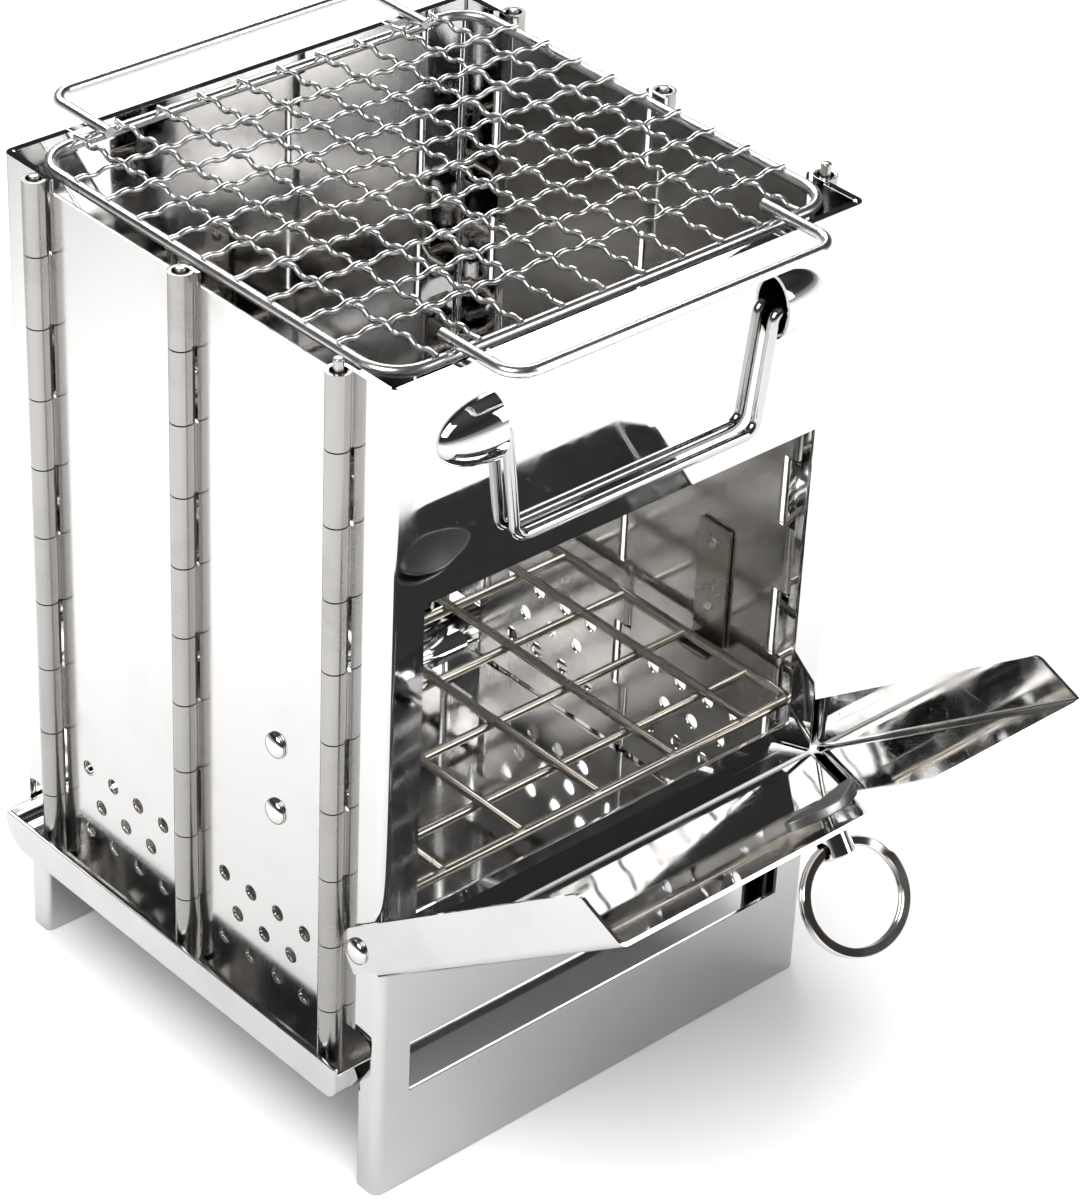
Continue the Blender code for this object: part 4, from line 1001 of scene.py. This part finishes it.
def steel(name, colour, roughness, smudged=0.08, scratched=0.10, wavy=0.0, grain=None, tint=0.0, shade=0.06):
    """A bare metal. grain is the stretch of its rolling or drawing lines, if they show."""
    material = bpy.data.materials.new(name)
    material.use_nodes = True
    tree = material.node_tree
    shader = tree.nodes["Principled BSDF"]
    shader.inputs["Metallic"].default_value = 1.0
    point = node(tree, "ShaderNodeTexCoord").outputs["Object"]
    marks = placed(tree, "rubbing_marks", Point=point)
    smudges = placed(tree, "handling_smudges", Point=point).outputs[0]
    base = (*colour, 1)
    if tint:
        base = placed(tree, "heat_tint", Point=point, Base=base, Amount=tint).outputs[0]
    darker = node(tree, "ShaderNodeMix", data_type="RGBA", blend_type="MULTIPLY")
    tree.links.new(maths(tree, "MULTIPLY", smudges, shade), darker.inputs["Factor"])
    give(tree, base, darker.inputs[6])
    darker.inputs[7].default_value = (0.55, 0.53, 0.50, 1)
    tree.links.new(darker.outputs[2], shader.inputs["Base Color"])
    rough = maths(tree, "ADD", roughness, maths(tree, "MULTIPLY", smudges, smudged))
    rough = maths(tree, "ADD", rough, maths(tree, "MULTIPLY", marks.outputs["Marks"], scratched))
    height = maths(tree, "MULTIPLY", marks.outputs["Height"], 0.35)
    if grain:
        drawn = node(tree, "ShaderNodeMapping", {"Vector": point, "Scale": grain}).outputs[0]
        lines = noise(tree, drawn, 2600.0, 3.0, 0.7).outputs[0]
        rough = maths(tree, "ADD", rough, maths(tree, "MULTIPLY", lines, 0.12))
        height = maths(tree, "ADD", height, maths(tree, "MULTIPLY", lines, 0.5))
    tree.links.new(rough, shader.inputs["Roughness"])
    bump = node(tree, "ShaderNodeBump", {"Strength": 0.12, "Distance": 0.00002, "Height": height})
    if wavy:
        slow = placed(tree, "sheet_waves", Point=point).outputs[0]
        wave = node(tree, "ShaderNodeBump", {"Strength": 1.0, "Distance": wavy, "Height": slow})
        tree.links.new(wave.outputs[0], bump.inputs["Normal"])
    tree.links.new(bump.outputs[0], shader.inputs["Normal"])
    return material


MIRROR_SHEET = steel("mirror_sheet_finish", (0.72, 0.715, 0.71), 0.02, wavy=0.00003, shade=0.10)
WALL_SHEET = steel("wall_sheet_finish", (0.69, 0.68, 0.67), 0.08, 0.08, wavy=0.00005,
                   grain=(1, 1, 0.02), shade=0.14)
TRAY_SHEET = steel("tray_sheet_finish", (0.68, 0.675, 0.67), 0.06, wavy=0.00005, shade=0.16)
DOOR_SHEET = steel("door_sheet_finish", (0.68, 0.675, 0.67), 0.03, 0.10, 0.3, wavy=0.00004, shade=0.18)
# knuckle colour: darker than the sheet, partly the rolled steel's own tone and partly painted shade of the gaps
# between the knuckles
SHADED_KNUCKLE_STEEL = steel("knuckle_finish_and_shade", (0.40, 0.39, 0.38), 0.15, 0.12, grain=(1, 1, 0.03), shade=0.2)
RIVET_STEEL = steel("rivet_finish", (0.76, 0.75, 0.74), 0.08)
PIN_STEEL = steel("pin_finish", (0.58, 0.56, 0.54), 0.22, grain=(1, 1, 0.03))
BRACKET_STEEL = steel("bracket_finish", (0.52, 0.50, 0.47), 0.25, tint=0.25)
GRILL_WIRE = steel("grill_wire_finish", (0.86, 0.855, 0.85), 0.26, 0.10)
GRATE_WIRE_STEEL = steel("grate_wire_finish", (0.62, 0.60, 0.57), 0.20, 0.15, tint=0.45)
HANDLE_WIRE = steel("handle_wire_finish", (0.56, 0.555, 0.55), 0.06)
LATCH_STEEL = steel("latch_finish", (0.46, 0.455, 0.45), 0.26, 0.15, 0.2, grain=(0.03, 1, 1), shade=0.2)
POST_STEEL = steel("post_finish", (0.68, 0.67, 0.66), 0.10)
RING_STEEL = steel("ring_finish", (0.70, 0.665, 0.64), 0.12, shade=0.1)


def dress(piece, material, body, slot, *nodes):
    """Give the piece its finish and its body, and hide the CAD nodes that it stands for."""
    piece.data.materials.clear()
    piece.data.materials.append(material)
    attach(piece, body)
    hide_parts(*nodes)
    return piece


def hinged(piece, material, body, slot, node_name):
    """Dress a sheet whose rolled knuckles have a duller, darker finish: the duller part is the rolled steel's
    own, and the darker colour is partly its own tone and partly painted shade for the gaps and neighbouring
    leaves they reflect.
    """
    dress(piece, material, body, slot, node_name)
    piece.data.materials.append(SHADED_KNUCKLE_STEEL)
    for face in piece.data.polygons:
        face.material_index = 1 if abs(face.center.x) > HALF + 0.2 * MM else 0
    return piece


# ---------------------------------------------------------------- assembly

fresh()
even, odd = range(0, KNUCKLES, 2), range(1, KNUCKLES, 2)
hinged(front_panel(), MIRROR_SHEET, "root", "polished_sheet", "front_panel")
hinged(back_panel(), MIRROR_SHEET, "back", "polished_sheet", "back_panel")
right_front = leaf("right_front_sheet", "front", "middle", odd, even, (94.0 * MM, 113.0 * MM))
right_rear = leaf("right_rear_sheet", "middle", "rear", odd, odd, ())
left_front, left_rear = mirrored(right_front, "left_front_sheet"), mirrored(right_rear, "left_rear_sheet")
hinged(left_front, WALL_SHEET, "left_front_wall", "wall_sheet", "left_front_leaf")
hinged(left_rear, WALL_SHEET, "left_rear_wall", "wall_sheet", "left_rear_leaf")
hinged(right_front, WALL_SHEET, "right_front_wall", "wall_sheet", "right_front_leaf")
hinged(right_rear, WALL_SHEET, "right_rear_wall", "wall_sheet", "right_rear_leaf")
dress(ash_tray(), TRAY_SHEET, "root", "tray_sheet", "ash_tray")
dress(door(), DOOR_SHEET, "door", "polished_sheet", "door")
dress(latch_plate(), LATCH_STEEL, "latch", "latch_steel", "latch_cam")
dress(latch_stem(), POST_STEEL, "latch", "latch_steel", "latch_stem")
dress(split_ring(), RING_STEEL, "ring", "ring_steel", "split_ring")
dress(carrying_handle(), HANDLE_WIRE, "bail", "handle_wire", "bail_handle")
dress(woven_grill(), GRILL_WIRE, "grill", "grill_wire", "grill")
dress(grill_handle("front_grill_handle", -1), GRILL_WIRE, "grill", "grill_wire", "front_grill_handle")
dress(grill_handle("back_grill_handle", 1), GRILL_WIRE, "grill", "grill_wire", "back_grill_handle")
dress(fire_grate(), GRATE_WIRE_STEEL, "grate", "grate_wire", "grate")

for side, label in ((-1, "left"), (1, "right")):
    for place, body in (("front", "root"), ("middle", f"{label}_front_wall"), ("rear", "back")):
        dress(hinge_pin(f"{label}_{place}_pin"), PIN_STEEL, body, "pin_steel", f"{label}_{place}_pin")
    for level in ("lower", "upper"):
        name = f"{label}_{level}_leaf_rivet"
        centre = middle(name)
        place = (side * (HALF + SEAT_GAP), centre.y, centre.z)
        dress(dome_rivet(f"{name}_head", place, (side, 0, 0)), RIVET_STEEL,
              f"{label}_front_wall", "rivet_steel", name)
    name = f"{label}_door_rivet"
    place = (side * (HALF + DOOR_SIDE_GAP + SHEET + SEAT_GAP), DOOR_AXIS.y, DOOR_AXIS.z)
    dress(dome_rivet(f"{name}_head", place, (side, 0, 0), length=3.1 * MM), RIVET_STEEL,
          "root", "rivet_steel", name)
    name = f"{label}_back_rivet"
    centre = middle(name)
    dress(dome_rivet(f"{name}_head", (centre.x, BACK_FACE + SEAT_GAP, centre.z), (0, 1, 0)), RIVET_STEEL,
          "back", "rivet_steel", name)
    name = f"{label}_grate_bracket"
    dress(angle_bracket(f"{name}_sheet", "x", side, name), BRACKET_STEEL,
          f"{label}_front_wall", "bracket_steel", name)
    name = f"{label}_back_bracket"
    dress(angle_bracket(f"{name}_sheet", "y", 1, name), BRACKET_STEEL, "back", "bracket_steel", name)


# ---------------------------------------------------------------- studio

LIGHT_AIM = Vector((0, 0, 0.1))


def pale_floor():
    """Plain and pale to the camera. To the metal its colour is painted darker close to the stove and far behind
    it, as painted shade in the reflections.
    """
    fresh()
    bpy.ops.mesh.primitive_circle_add(vertices=96, radius=4.0, fill_type="NGON", location=(0, 0, -0.2 * MM))
    floor = bpy.context.object
    floor.name = "studio_floor"
    material = bpy.data.materials.new("studio_floor_finish")
    material.use_nodes = True
    tree = material.node_tree
    shader = tree.nodes["Principled BSDF"]
    shader.inputs["Roughness"].default_value = 0.6
    shader.inputs["Specular IOR Level"].default_value = 0.1
    point = node(tree, "ShaderNodeTexCoord").outputs["Object"]
    away = node(tree, "ShaderNodeVectorMath", {0: point}, operation="LENGTH").outputs["Value"]
    # painted shade: the floor's colour for the metal darkens towards the stove and far behind it
    near_painted_shade = ranged(tree, away, 0.07, 0.36, 0.60, 0.90)
    behind = node(tree, "ShaderNodeSeparateXYZ", {0: point}).outputs["Y"]
    floor_painted_shade = maths(tree, "MULTIPLY", near_painted_shade, ranged(tree, behind, 0.25, 0.60, 1.0, 0.45))
    mix = node(tree, "ShaderNodeMix", data_type="RGBA")
    tree.links.new(node(tree, "ShaderNodeLightPath").outputs["Is Camera Ray"], mix.inputs["Factor"])
    tree.links.new(floor_painted_shade, mix.inputs[6])
    mix.inputs[7].default_value = (0.93, 0.93, 0.93, 1)
    tree.links.new(mix.outputs[2], shader.inputs["Base Color"])
    floor.data.materials.append(material)


def soft_light(name, place, size, power):
    """A rectangle of light aimed at the stove."""
    data = bpy.data.lights.new(name, "AREA")
    data.shape = "RECTANGLE"
    data.size, data.size_y = size
    data.energy = power
    lamp = bpy.data.objects.new(name, data)
    bpy.context.scene.collection.objects.link(lamp)
    lamp.location = place
    lamp.rotation_euler = (LIGHT_AIM - Vector(place)).to_track_quat("-Z", "Y").to_euler()


def studio_sky():
    """Plain white to the camera, and in the metal a grey horizon under a dark ceiling."""
    world = bpy.data.worlds.new("studio")
    bpy.context.scene.world = world
    world.use_nodes = True
    tree = world.node_tree
    tree.nodes.clear()
    direction = node(tree, "ShaderNodeTexCoord").outputs["Generated"]
    up = node(tree, "ShaderNodeSeparateXYZ", {0: direction}).outputs["Z"]
    ramp = node(tree, "ShaderNodeValToRGB", {"Fac": up})
    stops = ramp.color_ramp.elements
    stops[0].position, stops[0].color = 0.0, (0.45, 0.45, 0.45, 1)
    stops[1].position, stops[1].color = 1.0, (0.09, 0.09, 0.092, 1)
    for place, value in ((0.06, 0.30), (0.16, 0.05), (0.45, 0.03), (0.70, 0.05)):
        stops.new(place).color = (value, value, value, 1)
    metal = node(tree, "ShaderNodeBackground", {"Color": ramp.outputs[0], "Strength": 1.0})
    plain = node(tree, "ShaderNodeBackground", {"Color": (1, 1, 1, 1), "Strength": 1.0})
    mix = node(tree, "ShaderNodeMixShader", {0: node(tree, "ShaderNodeLightPath").outputs["Is Camera Ray"],
                                             1: metal.outputs[0], 2: plain.outputs[0]})
    node(tree, "ShaderNodeOutputWorld", {0: mix.outputs[0]})


def sun_light():
    data = bpy.data.lights.new("even_light", "SUN")
    data.energy = 3.4
    data.angle = radians(50)
    lamp = bpy.data.objects.new("even_light", data)
    bpy.context.scene.collection.objects.link(lamp)
    lamp.rotation_euler = (radians(18), radians(-14), 0)
    lamp.visible_glossy = False


pale_floor()
studio_sky()
sun_light()
soft_light("key_light", (-0.9, -0.2, 1.1), (0.8, 0.8), 10)
soft_light("fill_light", (0.9, -1.2, 0.7), (0.5, 0.9), 6)
soft_light("top_light", (0.35, 0.9, 1.0), (1.1, 0.4), 10)

CAMERA_PLACE = Vector((-0.54647, -0.58605, 0.65683))
CAMERA_AIM = Vector((0.02905, 0.02511, 0.10153))
CAMERA_ROLL = radians(2.72)
CAMERA_LENS = 120.47

camera_data = bpy.data.cameras.new("camera")
camera_data.lens = CAMERA_LENS
camera_data.sensor_width = 36
camera_data.clip_start = 0.01
camera = bpy.data.objects.new("camera", camera_data)
bpy.context.scene.collection.objects.link(camera)
camera.location = CAMERA_PLACE
camera.rotation_mode = "QUATERNION"
aim = (CAMERA_AIM - CAMERA_PLACE).to_track_quat("-Z", "Y")
camera.rotation_quaternion = aim @ Quaternion((0, 0, 1), CAMERA_ROLL)
bpy.context.scene.camera = camera
bpy.context.scene.view_settings.view_transform = "Standard"
